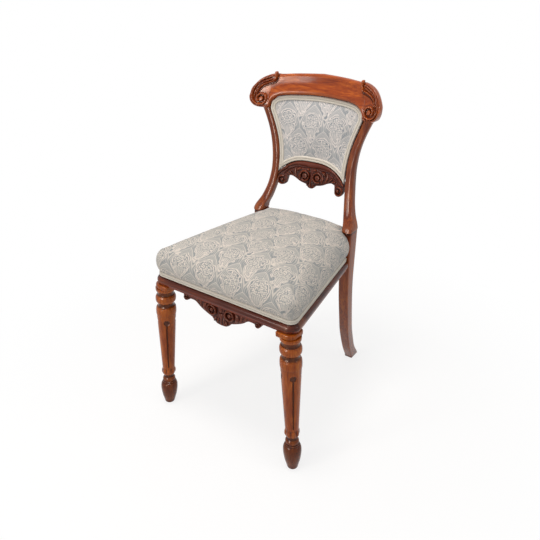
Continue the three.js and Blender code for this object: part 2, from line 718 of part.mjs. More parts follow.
// Hollowed front, rounded top and flat back, as shares of the thickness and of the height at that place.
const crestSectionShares = [
  [0.06, 0], [-0.16, 0.05], [-0.22, 0.15], [-0.14, 0.3], [0, 0.5], [0.06, 0.7], [0.06, 0.88], [0.16, 0.97],
  [0.4, 1], [0.75, 0.95], [1, 0.82], [1, 0],
];

function crestThicknessAt(x) {
  const along = Math.max(x - crestTaperX, 0) / (crestHalfWidth - crestTaperX);
  return lerp(crestEndThickness, crestThickness, Math.sqrt(1 - along * along));
}

function crestRing(x, side) {
  const [foot, top] = [crestFootAt(x), crestTopAt(x)];
  return crestSectionShares.map(([depth, up]) => {
    const z = lerp(foot, top, up);
    return new THREE.Vector3(side * x, crestFaceAt(x, z) + depth * crestThicknessAt(x), z);
  });
}

// The outer leaf of the scroll end, as shares of the half width and the crest height, with rib half widths.
const leafHeight = crestTopZ - voluteZ;
const leafShares = [
  [ // from the ear tip round the outside and in under the volute
    [0.645, 0.95, 0.03, 0.03], [0.665, 0.9, 0.055, 0.1], [0.71, 0.82, 0.065, 0.13], [0.79, 0.73, 0.075, 0.15],
    [0.88, 0.55, 0.08, 0.16], [0.945, 0.3, 0.08, 0.16], [0.955, 0.05, 0.08, 0.16], [0.92, -0.15, 0.07, 0.15],
    [0.86, -0.235, 0.06, 0.13],
  ],
  [ // second reed
    [0.665, 0.9, 0.03, 0.04], [0.7, 0.73, 0.06, 0.12], [0.78, 0.58, 0.06, 0.12], [0.85, 0.4, 0.06, 0.12],
    [0.885, 0.18, 0.05, 0.12], [0.885, 0, 0.04, 0.1],
  ],
  [ // inner reed, which starts in a small roll
    [0.68, 0.68, 0.05, 0.1], [0.72, 0.6, 0.045, 0.1], [0.78, 0.46, 0.04, 0.09], [0.825, 0.3, 0.03, 0.08],
  ],
];
// The ear tip: a leaf end that curls up above the crest.
const earShares = [
  [0.625, 0.68, 0.03, 0.07], [0.645, 0.8, 0.055, 0.12], [0.647, 0.91, 0.06, 0.13], [0.637, 0.96, 0.05, 0.11],
];

function crestScroll(side) {
  const place = ([x, z, half, height]) => [
    side * x * crestHalfWidth, voluteZ + z * leafHeight, half * leafHeight, height * leafHeight];
  const leaves = leafShares.map((route) => rib(smoothRoute(route.map(place), 10), crestFaceAt, 6));
  const ear = rib(smoothRoute(earShares.map(place), 5), crestFaceAt, 6);
  const turns = side * -1.35;
  const start = side > 0 ? -Math.PI * 0.3 : Math.PI * 1.3;
  const winding = scrollPlaces(
    side * voluteX, voluteZ, voluteRadius, voluteRibHalf, voluteRibHeight, start, turns, 17);
  const volute = rib(winding, crestFaceAt, 6);
  const eye = boss(side * voluteX, voluteZ, 0.38 * voluteRadius, 0.5 * voluteRadius, crestFaceAt);
  return join([...leaves, ear, volute, eye]);
}

function crestRail() {
  const { inner, outer } = stileAt(stileTopZ);
  const stationShares = [1, 2, 3, 4, 5, 5.5, 6, 6.25, 6.5, 6.75, 7].map((step) => step * panelCornerX / 7);
  const overStile = [0, 0.33, 0.66, 1].map((share) => lerp(inner, outer, share));
  const shoulder = [(panelCornerX + inner) / 2, ...overStile];
  const scrollShares = [0.35, 0.62, 0.8, 0.92, 0.985].map((share) => lerp(outer, crestHalfWidth, share));
  const half = [...stationShares, ...shoulder, ...scrollShares];
  const rings = [
    ...half.toReversed().map((x) => crestRing(x, -1)), crestRing(0, 1), ...half.map((x) => crestRing(x, 1))];
  const lip = archLip((x) => panelTopAt(x) + softGap, 0.86 * panelCornerX, -1);
  let crest = join([loft(rings), lip, crestScroll(-1), crestScroll(1)]);
  for (const side of sides) {
    crest = crest.subtract(crestTenon(side, gap));
  }
  return crest;
}

// Cross rail

const crossFaceAt = (x, z) => backY(x, z) + crossRailSetback;

// Lower edge between the end scrolls, as shares of the run from the middle to a scroll and of its rise.
const crossFootShares = [
  [0, 0], [0.07, 0.02], [0.16, 0.15], [0.27, 0.35], [0.4, 0.54],
  [0.53, 0.74], [0.7, 0.95], [0.86, 1], [1, 0.9],
];

function crossFootAt(x) {
  const reach = crossVoluteX - crossVoluteRadius;
  if (x <= reach) return pendantZ + readTable(crossFootShares, x / reach, 1) * crossFootRise;
  const across = Math.min(Math.abs(x - crossVoluteX) / crossVoluteRadius, 1);
  return crossVoluteZ - crossVoluteRadius * Math.sqrt(1 - across * across);
}

function crossRailTenons(clearance) {
  const z = crossVoluteZ + 0.5 * crossVoluteRadius;
  const { inner } = stileAt(z);
  const reach = inner + tenonLength * 0.7 + clearance;
  const start = crossVoluteX + 0.5 * crossVoluteRadius;
  const half = crossRailDepth / 4 + clearance;
  const middle = crossFaceAt(inner, z) + crossRailDepth * 0.6;
  const tenon = (side) => box(side * start, side * reach, middle - half, middle + half,
    z - crossVoluteRadius * 0.6 - clearance, z + crossVoluteRadius * 0.6 + clearance);
  return join([tenon(-1), tenon(1)]);
}

function carvedCrossRail() {
  const end = crossVoluteX + crossVoluteRadius;
  const reach = crossVoluteX - crossVoluteRadius;
  const half = [
    ...[0.07, 0.16, 0.27, 0.4, 0.53, 0.7, 0.86, 0.99].map((share) => share * reach),
    ...[0.03, 0.15, 0.5, 0.8, 0.98].map((share) => lerp(reach, end, share)),
  ];
  const ring = (x, side) => {
    const foot = crossFootAt(x);
    const top = Math.max(panelFootAt(Math.min(x, panelBottomHalf)) - softGap, foot + crossVoluteRadius);
    return [[0.08, 0], [0, 0.06], [0, 0.94], [0.08, 1], [1, 1], [1, 0]].map(([depth, up]) => {
      const z = lerp(foot, top, up);
      return new THREE.Vector3(side * x, crossFaceAt(x, z) + depth * crossRailDepth, z);
    });
  };
  const rings = [...half.toReversed().map((x) => ring(x, -1)), ring(0, 1), ...half.map((x) => ring(x, 1))];
  const lip = archLip((x) => panelFootAt(x) - softGap, 0.86 * panelBottomHalf, 1);
  const parts = [loft(rings), lip, crossRailTenons(0)];
  const scroll = (x, z, radius, side, start) => {
    const places = scrollPlaces(
      side * x, z, radius, crossRibHalf, crossRibHeight, start * Math.PI, side * 1.3, 14);
    parts.push(rib(places, crossFaceAt, 5), boss(side * x, z, crossEyeRadius, crossRibHeight, crossFaceAt));
  };
  for (const side of [-1, 1]) {
    scroll(crossVoluteX, crossVoluteZ, crossVoluteRadius, side, side > 0 ? 0.55 : 0.45);
    scroll(crossCentreX, crossCentreZ, crossCentreRadius, side, side > 0 ? -0.6 : 1.6);
    for (const leaf of crossLeafShares) {
      const places = leaf.map(([x, z, wide, high]) => [side * x * reach, lerp(pendantZ, panelBottomZ, z),
        wide * crossVoluteRadius, high * crossVoluteRadius]);
      parts.push(rib(smoothRoute(places, 6), crossFaceAt, 5));
    }
  }
  parts.push(boss(0, pendantZ + 0.6 * crossVoluteRadius, crossEyeRadius, crossRibHeight, crossFaceAt));
  return join(parts).subtract(stileFaces());
}

// Leaves of the cross rail: over the centre scrolls, and out to the end scrolls.
const crossLeafShares = [
  [[0.12, 0.62, 0.1, 0.1], [0.3, 0.72, 0.3, 0.35], [0.52, 0.7, 0.28, 0.35], [0.7, 0.6, 0.1, 0.1]],
  [[0.5, 0.5, 0.1, 0.1], [0.7, 0.53, 0.26, 0.35], [0.9, 0.45, 0.28, 0.4], [1.08, 0.3, 0.2, 0.35]],
  [[0.05, 0.28, 0.15, 0.2], [0.12, 0.16, 0.3, 0.35], [0.25, 0.22, 0.25, 0.3], [0.4, 0.33, 0.1, 0.1]],
];

// What the stiles take up beside the cross rail, with clearance.
function stileFaces() {
  const steps = 6;
  const wall = (side) => {
    const rings = [];
    for (let step = 0; step <= steps; step += 1) {
      const z = lerp(crossVoluteZ - 2 * crossVoluteRadius, waistZ, step / steps);
      const { inner, outer, frontY } = stileAt(z);
      const [near, far] = [frontY - stileDepth, frontY + 2 * stileDepth];
      rings.push([[inner - gap, near], [outer, near], [outer, far], [inner - gap, far]]
        .map(([x, y]) => new THREE.Vector3(side * x, y, z)));
    }
    return loft(rings);
  };
  const tenon = crossRailTenons(0);
  return join([wall(-1), wall(1)]).subtract(tenon);
}

// Apron

const apronFaceAt = () => apronFrontY;
const apronTopZ = railBottomZ - gap;
const apronFootShares = [
  [0, 0], [0.07, 0.02], [0.165, 0.13], [0.25, 0.25], [0.37, 0.36], [0.5, 0.47], [0.62, 0.64],
  [0.72, 0.73], [0.8, 0.715], [0.86, 0.62], [0.915, 0.59], [0.965, 0.66], [0.99, 0.78], [1, 0.9],
];
const apronHeight = apronTopZ - apronBottomZ;

function carvedApron() {
  const ring = (x, side) => {
    const foot = apronBottomZ + readTable(apronFootShares, x / apronHalf, 1) * apronHeight;
    return [[0.1, foot], [0, lerp(foot, apronTopZ, 0.06)], [0, apronTopZ], [1, apronTopZ], [1, foot]]
      .map(([depth, z]) => new THREE.Vector3(side * x, apronFrontY + depth * apronDepth, z));
  };
  const half = apronFootShares.slice(1).map(([share]) => share * apronHalf);
  const rings = [...half.toReversed().map((x) => ring(x, -1)), ring(0, 1), ...half.map((x) => ring(x, 1))];
  const parts = [loft(rings)];
  for (const side of [-1, 1]) {
    const voluteStart = (side > 0 ? -0.6 : 1.6) * Math.PI;
    const volute = scrollPlaces(side * apronVoluteX, apronVoluteZ, apronVoluteRadius, apronRibHalf,
      apronRibHeight, voluteStart, side * 1.3, 14);
    parts.push(rib(volute, apronFaceAt, 6));
    parts.push(boss(side * apronVoluteX, apronVoluteZ, apronEyeRadius, apronRibHeight, apronFaceAt));
    const endStart = (side > 0 ? 0.6 : 0.4) * Math.PI;
    const end = scrollPlaces(side * apronEndX, apronEndZ, apronEndRadius, apronEndRibHalf,
      apronEndRibHeight, endStart, side * 1.1, 14);
    parts.push(rib(end, apronFaceAt, 6));
    for (const leaf of apronLeafShares) {
      const places = leaf.map(([x, z, wide, high]) => [side * x * apronHalf, lerp(apronBottomZ, apronTopZ, z),
        wide * apronVoluteRadius, high * apronVoluteRadius]);
      parts.push(rib(smoothRoute(places, 8), apronFaceAt, 6));
    }
  }
  parts.push(boss(0, apronBottomZ + 0.7 * apronVoluteRadius, apronRibHeight, apronRibHeight, apronFaceAt));
  const aboveApron = box(-2 * apronHalf, 2 * apronHalf, apronFrontY - 3 * apronDepth,
    apronFrontY + 3 * apronDepth, apronTopZ, railTopZ);
  return join(parts).subtract(aboveApron);
}

// Leaves of the apron: a shell each side of the pendant, and long leaves out to the end scrolls.
const apronLeafShares = [
  [[0.02, 0.3, 0.1, 0.2], [0.1, 0.22, 0.35, 0.45], [0.2, 0.3, 0.3, 0.4], [0.3, 0.42, 0.1, 0.2]],
  [[0.34, 0.5, 0.1, 0.2], [0.45, 0.6, 0.4, 0.45], [0.6, 0.75, 0.35, 0.45], [0.78, 0.85, 0.15, 0.2]],
  [[0.3, 0.85, 0.1, 0.2], [0.45, 0.86, 0.3, 0.4], [0.62, 0.88, 0.15, 0.2]],
];

function apronGlueBlock(side) {
  const x = mirror(side, glueBlockX);
  const backY0 = apronFrontY + apronDepth + gap;
  const section = [[backY0, 0], [backY0 + glueBlockSize, 0], [backY0, -glueBlockSize]];
  const rings = [x - glueBlockLength / 2, x + glueBlockLength / 2].map((across) => section
    .map(([y, drop]) => new THREE.Vector3(across, y, apronTopZ + drop)));
  return loft(rings);
}

// Corner blocks and their screws

const blockTopZ = railTopZ - blockDrop;
const blockMiddleZ = blockTopZ - blockHeight / 2;

// The inner corner that a block sits in, and the directions of its two rails.
function blockCorner(end, side) {
  const sign = side === 'left' ? -1 : 1;
  const inset = sideRailThickness / Math.cos(sideAngle) + gap;
  const railY = end === 'front' ? 1 : -1;
  const y = end === 'front' ? frontRailBackY + gap : rearRailFrontY - gap;
  return { x: sign * (seatHalfAt(y) - inset), y, railX: -sign, railY, lean: -sign * railY * seatTaper };
}

function blockOutline({ x, y, railX, railY, lean }) {
  const nose = blockLeg * 0.25;
  return [[x, y], [x + railX * blockLeg, y], [x + railX * blockLeg, y + railY * nose],
    [x + railX * nose + lean * blockLeg, y + railY * blockLeg], [x + lean * blockLeg, y + railY * blockLeg]];
}

// Each block has one screw into the front or rear rail and one into the side rail.
function screwPlaces(end, side) {
  const { x, y, railX, railY } = blockCorner(end, side);
  const [far, near] = [0.72 * blockLeg, 0.3 * blockLeg];
  return [
    { name: 'inner', x: x + railX * far, y: y + railY * near, direction: [0, -railY] },
    { name: 'outer', x: x + railX * near, y: y + railY * far, direction: [-railX, 0] },
  ];
}

// A countersunk wood screw, grown by `clearance` when it cuts its hole.
function screw({ x, y, direction }, clearance) {
  const tip = screwLength + clearance;
  const back = clearance ? overrun * 2 : 0;
  const head = screwHeadRadius + clearance;
  const shank = screwRadius + clearance;
  const profile = [[0, -back], [head, -back], [head, 0], [shank, screwHeadHeight + clearance],
    [shank, tip * 0.75], [0, tip]].map(([out, along]) => new THREE.Vector2(out, along));
  const geometry = new THREE.LatheGeometry(profile, 8);
  const turn = new THREE.Quaternion().setFromUnitVectors(new THREE.Vector3(0, 1, 0),
    new THREE.Vector3(direction[0], direction[1], 0));
  geometry.applyQuaternion(turn);
  const setback = 0.35 * screwLength - 0.5 * screwHeadHeight;
  geometry.translate(x - direction[0] * setback, y - direction[1] * setback, blockMiddleZ);
  return solid(geometry);
}

function cornerBlock(end, side) {
  const outline = blockOutline(blockCorner(end, side));
  const ring = (z) => outline.map(([x, y]) => new THREE.Vector3(x, y, z));
  return loft([ring(blockTopZ - blockHeight), ring(blockTopZ)]);
}

// Seat upholstery

// The outside of the stuffed seat: [offset from the rail face, height] up to the shoulder.
const seatSideShares = [
  [0.2, 0], [0.2, 0.16], [0.72, 0.3], [1, 0.5], [0.9, 0.7], [0.4, 0.86], [-0.5, 0.98], [-1.5, 1.05],
];
// From the shoulder to the crown: how much of the plan is left, and how much of the crown is still to rise.
const crownShares = [[0.86, 0.5], [0.66, 0.2], [0.4, 0.05], [0.1, 0]];

// Stuffing or cover: everything inside the seat's outer surface, shrunk by `inside`, above `footZ`.
function seatBody(inside, footZ, footOffset) {
  const shoulderHeight = seatShoulderZ - mouldTopZ;
  const levels = seatSideShares
    .map(([out, up]) => [out * seatBulge - inside, mouldTopZ + up * shoulderHeight]);
  const sideLevels = [[footOffset, footZ], ...levels.filter(([, z]) => z > footZ + gap)
    .map(([out, z], index, all) => [out, index > all.length - 4 ? z - inside : z])];
  // The seat rises a little towards its back, in step with the height of each level.
  const ringAt = (offset, z) => {
    const edge = seatEdge(offset, seatBackY + Math.min(offset, 0) - inside, 4, 5, 6);
    const rear = [0.75, 0.5, 0.25].map((share) => [lerp(edge[0][0], edge.at(-1)[0], share), edge[0][1]]);
    const lift = (y) => seatBackRise * THREE.MathUtils.clamp((z - mouldTopZ) / shoulderHeight, 0, 1)
      * THREE.MathUtils.smoothstep(y, 0, seatBackY);
    return [...edge, ...rear].map(([x, y]) => new THREE.Vector3(x, y, z + lift(y)));
  };
  const rings = sideLevels.map(([offset, z]) => ringAt(offset, z));
  const middleY = (seatBackY - frontFaceSetout) / 2;
  const last = rings.at(-1);
  for (const [share, fall] of crownShares) {
    rings.push(last.map((point) => new THREE.Vector3(point.x * share, middleY + (point.y - middleY) * share,
      lerp(seatCrownZ - inside, point.z, fall))));
  }
  return loft(rings);
}

// The rear posts pass up through the corners of the seat.
function postNotches(clearance) {
  const make = (sign) => box(sign * (postOuterX - postWidth - clearance), sign * (seatHalfFront + seatBulge),
    postFrontY - clearance, seatBackY + 2 * postDepth, railBottomZ - overrun, toeZ + stileDepth);
  const toe = (sign) => {
    const { inner, outer, frontY } = stileAt(toeZ);
    return box(sign * (inner - clearance), sign * (outer + clearance), frontY - clearance,
      seatBackY + postDepth, toeZ - clearance, toeZ + stileDepth);
  };
  return join([make(-1), make(1), toe(-1), toe(1)]);
}

const webTopZ = railTopZ + gap + 2 * webThickness + gap;
const hessianTopZ = webTopZ + gap + hessianThickness;

function seatStuffing() {
  return seatBody(clothThickness + gap, hessianTopZ + gap, -2 * gap).subtract(postNotches(softGap));
}

function seatCover() {
  const outside = seatBody(0, mouldTopZ + gap, seatSideShares[0][0] * seatBulge);
  const inside = seatBody(clothThickness, mouldTopZ - overrun, 2 * gap);
  return outside.subtract(inside).subtract(postNotches(softGap));
}

function seatHessian() {
  const plan = seatEdge(-2 * gap - clothThickness, seatBackY - 4 * clothThickness, 2, 1, 1);
  const ring = (z) => plan.map(([x, y]) => new THREE.Vector3(x, y, z));
  return loft([ring(hessianTopZ - hessianThickness), ring(hessianTopZ)]).subtract(postNotches(softGap));
}

// Webbing straps, woven over and under each other like basket work.
const longWebX = [-0.32, 0, 0.32].map((share) => share * seatHalfBack * 2);
const crossWebY = [0.2, 0.5, 0.8].map((share) => share * postFrontY);

function webStrap(along, at, from, to, crossings, first) {
  const wave = (webThickness + gap) / 2;
  const middle = railTopZ + gap + wave + webThickness / 2;
  const stops = [[from, -1]];
  crossings.forEach((place, index) => {
    const lift = (index + first) % 2 === 0 ? 1 : -1;
    stops.push([place - webWidth / 2 - webThickness, lift], [place + webWidth / 2 + webThickness, lift]);
  });
  stops.push([to, -1]);
  const rings = stops.map(([place, lift]) => {
    const [low, high] = [middle + lift * wave - webThickness / 2, middle + lift * wave + webThickness / 2];
    return [[-webWidth / 2, low], [webWidth / 2, low], [webWidth / 2, high], [-webWidth / 2, high]]
      .map(([across, z]) => (along === 'y'
        ? new THREE.Vector3(at + across, place, z) : new THREE.Vector3(place, at + across, z)));
  });
  return loft(rings);
}

// Braid over the tacked edge of the seat cover, from one rear post round the front to the other.
function seatGimp() {
  const edge = (offset) => seatEdge(offset, postFrontY - softGap, 5, 10, 8);
  const seat = seatSideShares[0][0] * seatBulge + softGap;
  const [inner, outer] = [edge(seat), edge(seat + gimpThickness)];
  const low = mouldTopZ + gap;
  const rings = inner.map(([x, y], index) => {
    const [ox, oy] = outer[index];
    return [[x, y, 0], [ox, oy, 0.12], [ox, oy, 0.88], [x, y, 1]]
      .map(([px, py, up]) => new THREE.Vector3(px, py, low + up * gimpWidth));
  });
  return loft(rings);
}

// Back upholstery

const coverEdge = 3.4; // how deep the cover's edge lies behind the back's surface
const domeFootShare = 0.092; // where the pad starts to rise, just inside the braid
const domeShare = (share) => THREE.MathUtils.clamp((share - domeFootShare) / (1 - 2 * domeFootShare), 0, 1);
const archAt = (share) => Math.sin(Math.PI * domeShare(share));
const domeAt = (across, up) => Math.pow(archAt(across) * archAt(up), 0.6);
const coverFront = (across, up) => coverEdge - (panelCrown + coverEdge) * domeAt(across, up) * 0.8;

function backCover() {
  return panelSlab(0.006, coverFront, (across, up) => coverFront(across, up) + clothThickness, 14, 8);
}

function backStuffing() {
  return panelSlab(0.01, (across, up) => coverFront(across, up) + clothThickness + gap,
    () => lipFront - hessianThickness - 3 * gap, 14, 8);
}

function backHessian() {
  return panelSlab(0.01, () => lipFront - hessianThickness - 1.5 * gap, () => lipFront - 1.5 * gap, 14, 8);
}

function outsideBackCover() {
  const front = lipFront + lipThickness + 1.5 * gap;
  return panelSlab(0.01, () => front, () => front + clothThickness, 14, 8);
}

// A flat braid that runs all round the panel, a share of the panel's size inside its edge.
const braidEdgeShare = 0.008;
function panelGimp(frontDepth, thickness) {
  const steps = [18, 14];
  const places = [];
  const run = (count, at) => Array.from({ length: count }, (_, step) => places.push(at(step / count)));
  const [low, high] = [braidEdgeShare, 1 - braidEdgeShare];
  run(steps[0], (t) => [lerp(low, high, t), low]);
  run(steps[1], (t) => [high, lerp(low, high, t)]);
  run(steps[0], (t) => [lerp(high, low, t), high]);
  run(steps[1], (t) => [low, lerp(high, low, t)]);
  const outer = places.map(([across, up]) => panelPoint(across, up));
  const rings = outer.map(([x, z], index) => {
    const [before, after] = [outer.at(index - 1), outer[(index + 1) % outer.length]];
    const along = new THREE.Vector2(after[0] - before[0], after[1] - before[1]).normalize();
    const [ix, iz] = [x - along.y * gimpWidth, z + along.x * gimpWidth];
    const place = (px, pz, depth) => new THREE.Vector3(px, backY(px, pz) + frontDepth + depth, pz);
    return [place(x, z, 0), place(x, z, thickness), place(ix, iz, thickness), place(ix, iz, 0)];
  });
  return loft(rings, true);
}

// Assembly

const chair = new THREE.Group();

function add(name, body, finish) {
  const mesh = new THREE.Mesh(geometryOf(body), new THREE.MeshStandardMaterial(finishes[finish]));
  mesh.name = name;
  chair.add(mesh);
}

const screws = [];
for (const end of ['front', 'rear']) {
  for (const side of sides) {
    screwPlaces(end, side).forEach((place) => screws.push({ ...place, end, side }));
  }
}
const drill = (body) => screws.reduce((drilled, place) => drilled.subtract(screw(place, gap)), body);

add('front_seat_rail', drill(frontSeatRail()), 'polished');
add('rear_seat_rail', drill(rearSeatRail()), 'beech');
add('crest_rail', crestRail(), 'polished');
add('carved_cross_rail', carvedCrossRail(), 'carved');
add('carved_apron', carvedApron(), 'carved');
for (const side of sides) {
  add(`front_leg_${side}`, frontLeg(side), 'legs');
  add(`rear_leg_${side}`, drill(rearLeg(side)), 'polished');
  add(`side_seat_rail_${side}`, drill(sideSeatRail(side)), 'polished');
  add(`apron_glue_block_${side}`, apronGlueBlock(side), 'beech');
  add(`front_corner_block_${side}`, drill(cornerBlock('front', side)), 'beech');
  add(`rear_corner_block_${side}`, drill(cornerBlock('rear', side)), 'beech');
}
for (const place of screws) {
  add(`${place.end}_block_screw_${place.side}_${place.name}`, screw(place, 0), 'steel');
}
longWebX.forEach((x, index) => {
  const [front, rear] = [webThickness - frontFaceSetout, rearRailFrontY + rearRailThickness - webThickness];
  add(`long_web_${index + 1}`, webStrap('y', x, front, rear, crossWebY, index), 'webbing');
});
crossWebY.forEach((y, index) => {
  const reach = seatHalfAt(y + webWidth / 2) - webThickness;
  add(`cross_web_${index + 1}`, webStrap('x', y, -reach, reach, longWebX, index + 1), 'webbing');
});
add('seat_hessian', seatHessian(), 'hessian');
add('seat_stuffing', seatStuffing(), 'stuffing');
add('seat_cover', seatCover(), 'damask');
add('seat_gimp', seatGimp(), 'braid');
add('back_hessian', backHessian(), 'hessian');
add('back_stuffing', backStuffing(), 'stuffing');
add('back_cover', backCover(), 'damask');
add('back_gimp', panelGimp(0, gimpThickness), 'braid');
add('outside_back_cover', outsideBackCover(), 'damask');
const outsideBraidDepth = lipFront + lipThickness + clothThickness + 2.5 * gap;
add('outside_back_gimp', panelGimp(outsideBraidDepth, gimpThickness), 'braid');

// The chair's own origin is on the floor, under the middle of its box.
const whole = new THREE.Box3().setFromObject(chair);
chair.position.set(-(whole.min.x + whole.max.x) / 2, -(whole.min.y + whole.max.y) / 2, -whole.min.z);
chair.updateMatrixWorld(true);

export default chair;
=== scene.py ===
from math import atan, cos, pi, radians, sin, sqrt, tan

import bmesh
import bpy
import numpy as np
from mathutils import Matrix, Vector


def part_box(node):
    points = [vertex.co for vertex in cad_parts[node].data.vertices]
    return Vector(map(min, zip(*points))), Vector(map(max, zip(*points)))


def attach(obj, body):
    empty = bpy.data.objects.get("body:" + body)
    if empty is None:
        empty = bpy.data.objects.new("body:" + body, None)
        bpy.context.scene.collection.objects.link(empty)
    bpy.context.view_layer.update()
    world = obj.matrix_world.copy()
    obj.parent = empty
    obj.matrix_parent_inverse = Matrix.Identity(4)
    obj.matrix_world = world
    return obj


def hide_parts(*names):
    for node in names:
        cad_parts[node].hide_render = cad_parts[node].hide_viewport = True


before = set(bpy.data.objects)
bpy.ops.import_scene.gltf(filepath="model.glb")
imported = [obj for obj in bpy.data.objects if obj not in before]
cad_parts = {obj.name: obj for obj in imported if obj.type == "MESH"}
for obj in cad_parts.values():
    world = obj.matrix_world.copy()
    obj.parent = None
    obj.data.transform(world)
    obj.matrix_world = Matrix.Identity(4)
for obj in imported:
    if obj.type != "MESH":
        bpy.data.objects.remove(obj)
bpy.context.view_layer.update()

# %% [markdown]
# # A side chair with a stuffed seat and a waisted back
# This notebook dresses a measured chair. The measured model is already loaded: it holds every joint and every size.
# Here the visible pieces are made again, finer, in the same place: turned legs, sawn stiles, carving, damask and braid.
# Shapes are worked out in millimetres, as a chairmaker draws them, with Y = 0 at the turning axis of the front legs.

rear_rail_front = 354.45  # where the drawing puts the front of the rear rail
origin_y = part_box("rear_seat_rail")[0].y - rear_rail_front / 1000
print("the drawing's origin lies at y =", round(origin_y, 5), "m")

# %% [markdown]
# ## The camera
# A photograph fixes its own viewpoint. The eye stood to the chair's right, above the seat, about 1.4 m away, with a
# lens of normal width. It could be placed by hand until it looks right. Here it was fitted to the feet, the rails and
# the crest, and only the result is kept: the turn round the chair, the height, a very small roll, and the distance.

# %% Camera
turn, lift, roll = radians(34.779), radians(27.371), radians(0.513)
eye_distance = 1.417  # metres from the point that the eye looks at
backward = Vector((sin(turn) * cos(lift), -cos(turn) * cos(lift), sin(lift)))
level = Vector((cos(turn), sin(turn), 0))
upright = backward.cross(level)
across_view = level * cos(roll) + upright * sin(roll)
up_view = upright * cos(roll) - level * sin(roll)
target = Vector((0.0117, 0.18 + origin_y, 0.4208))
camera = bpy.data.objects.new("camera", bpy.data.cameras.new("camera"))
camera.data.lens, camera.data.sensor_width, camera.data.sensor_fit = 36, 36, "HORIZONTAL"
bpy.context.scene.collection.objects.link(camera)
camera.matrix_world = Matrix((across_view, up_view, backward)).transposed().to_4x4()
camera.location = target + backward * eye_distance
bpy.context.scene.camera = camera
bpy.context.scene.view_settings.view_transform = "Standard"
print("the eye is at", [round(c, 3) for c in camera.location])

# %% [markdown]
# ## One way to add a node, one way to read a colour
# A material is a small graph. One function adds any node: its settings come by name and its sockets by a table of
# values or of other nodes. Colours are written as they look on a screen and turned to the linear values light needs.


# %% Colour and node helpers
def linear(code):
    """The linear colour of a screen colour such as "#c0ffee"."""
    shares = [int(code[i:i + 2], 16) / 255 for i in (1, 3, 5)]
    return [s / 12.92 if s <= 0.04045 else ((s + 0.055) / 1.055) ** 2.4 for s in shares] + [1]


def add_node(tree, kind, sockets=(), stops=(), **settings):
    """Adds one node; a socket takes a value, another node's first output, or one output by name."""
    node = tree.nodes.new("ShaderNode" + kind)
    for name, value in settings.items():
        setattr(node, name, value)
    for place, value in dict(sockets).items():
        if isinstance(value, bpy.types.Node):
            value = next(output for output in value.outputs if output.enabled)
        if isinstance(value, bpy.types.NodeSocket):
            tree.links.new(value, node.inputs[place])
        else:
            node.inputs[place].default_value = value
    for index, (place, colour) in enumerate(stops):
        ramp = node.color_ramp.elements
        stop = ramp[index] if index < len(ramp) else ramp.new(place)
        stop.position, stop.color = place, colour
    return node


def new_material(name):
    material = bpy.data.materials.new(name)
    material.use_nodes = True
    material.node_tree.nodes.clear()
    return material, material.node_tree


# %% [markdown]
# ## Studio
# The chair stands on white paper in even daylight. Lamps that are turned up until the paper is white would wash out the
# wood, so the white is painted instead: the camera and the gloss see a plain white world, while the light that falls on
# the chair stays modest. The paper is a real surface near the chair, where it takes a soft shadow, and fades to plain
# white further out.

# %% World and floor
daylight = 0.42  # how bright the white world is as a lamp


def seen_plainly(tree):
    """1 for what the camera or a reflection sees, 0 for light that falls on a surface."""
    path = add_node(tree, "LightPath")
    seen = add_node(tree, "Math", {0: path.outputs["Is Camera Ray"], 1: path.outputs["Is Glossy Ray"]},
                    operation="MAXIMUM")
    return add_node(tree, "Math", {0: seen, 1: path.outputs["Is Transmission Ray"]}, operation="MAXIMUM")


world = bpy.data.worlds.new("white_room")
bpy.context.scene.world = world
world.use_nodes = True
world.node_tree.nodes.clear()
strength = add_node(world.node_tree, "MapRange", {0: seen_plainly(world.node_tree), 3: daylight, 4: 1.0})
paper = add_node(world.node_tree, "Background", {"Color": linear("#ffffff"), "Strength": strength})
add_node(world.node_tree, "OutputWorld", {"Surface": paper})

floor_mesh = bpy.data.meshes.new("floor")
floor_mesh.from_pydata([(-6, -6, 0), (6, -6, 0), (6, 6, 0), (-6, 6, 0)], [], [(0, 1, 2, 3)])
floor = bpy.data.objects.new("floor", floor_mesh)
bpy.context.scene.collection.objects.link(floor)
floor_paint, tree = new_material("floor_paper")
matt = add_node(tree, "BsdfDiffuse", {"Color": linear("#f4f4f4")})
place = add_node(tree, "TexCoord")
away = add_node(tree, "VectorMath", {0: place.outputs["Object"]}, operation="LENGTH")
fade = add_node(tree, "MapRange", {0: away.outputs["Value"], 1: 0.25, 2: 1.1, 3: 0.8, 4: 1.0},
                interpolation_type="SMOOTHSTEP")
glow = add_node(tree, "Emission", {"Color": linear("#ffffff"), "Strength": 1.0})
lit = add_node(tree, "MixShader", {0: fade, 1: matt, 2: glow})
sheet = add_node(tree, "MixShader", {0: seen_plainly(tree), 1: matt, 2: lit})
add_node(tree, "OutputMaterial", {"Surface": sheet})
floor.data.materials.append(floor_paint)
print("the paper is", floor.dimensions.x, "m wide")

# %% [markdown]
# ## Lamps
# Upholstery is modelled by one large lamp overhead, a little in front, so that the top of the seat is brightest and its
# sides turn darker. A weak tall lamp at the left keeps the front's carving readable, and a small one at the right lifts
# the far side. Polished wood also mirrors the room: a bright streak runs down each rounded stile and along the crest. A
# lamp strong enough for that would bleach the damask, so a tall warm strip is seen in the gloss only and adds no light
# to the colours.

# %% Lamps
look_at = Vector((0, 0, 0.45))  # the middle of the chair


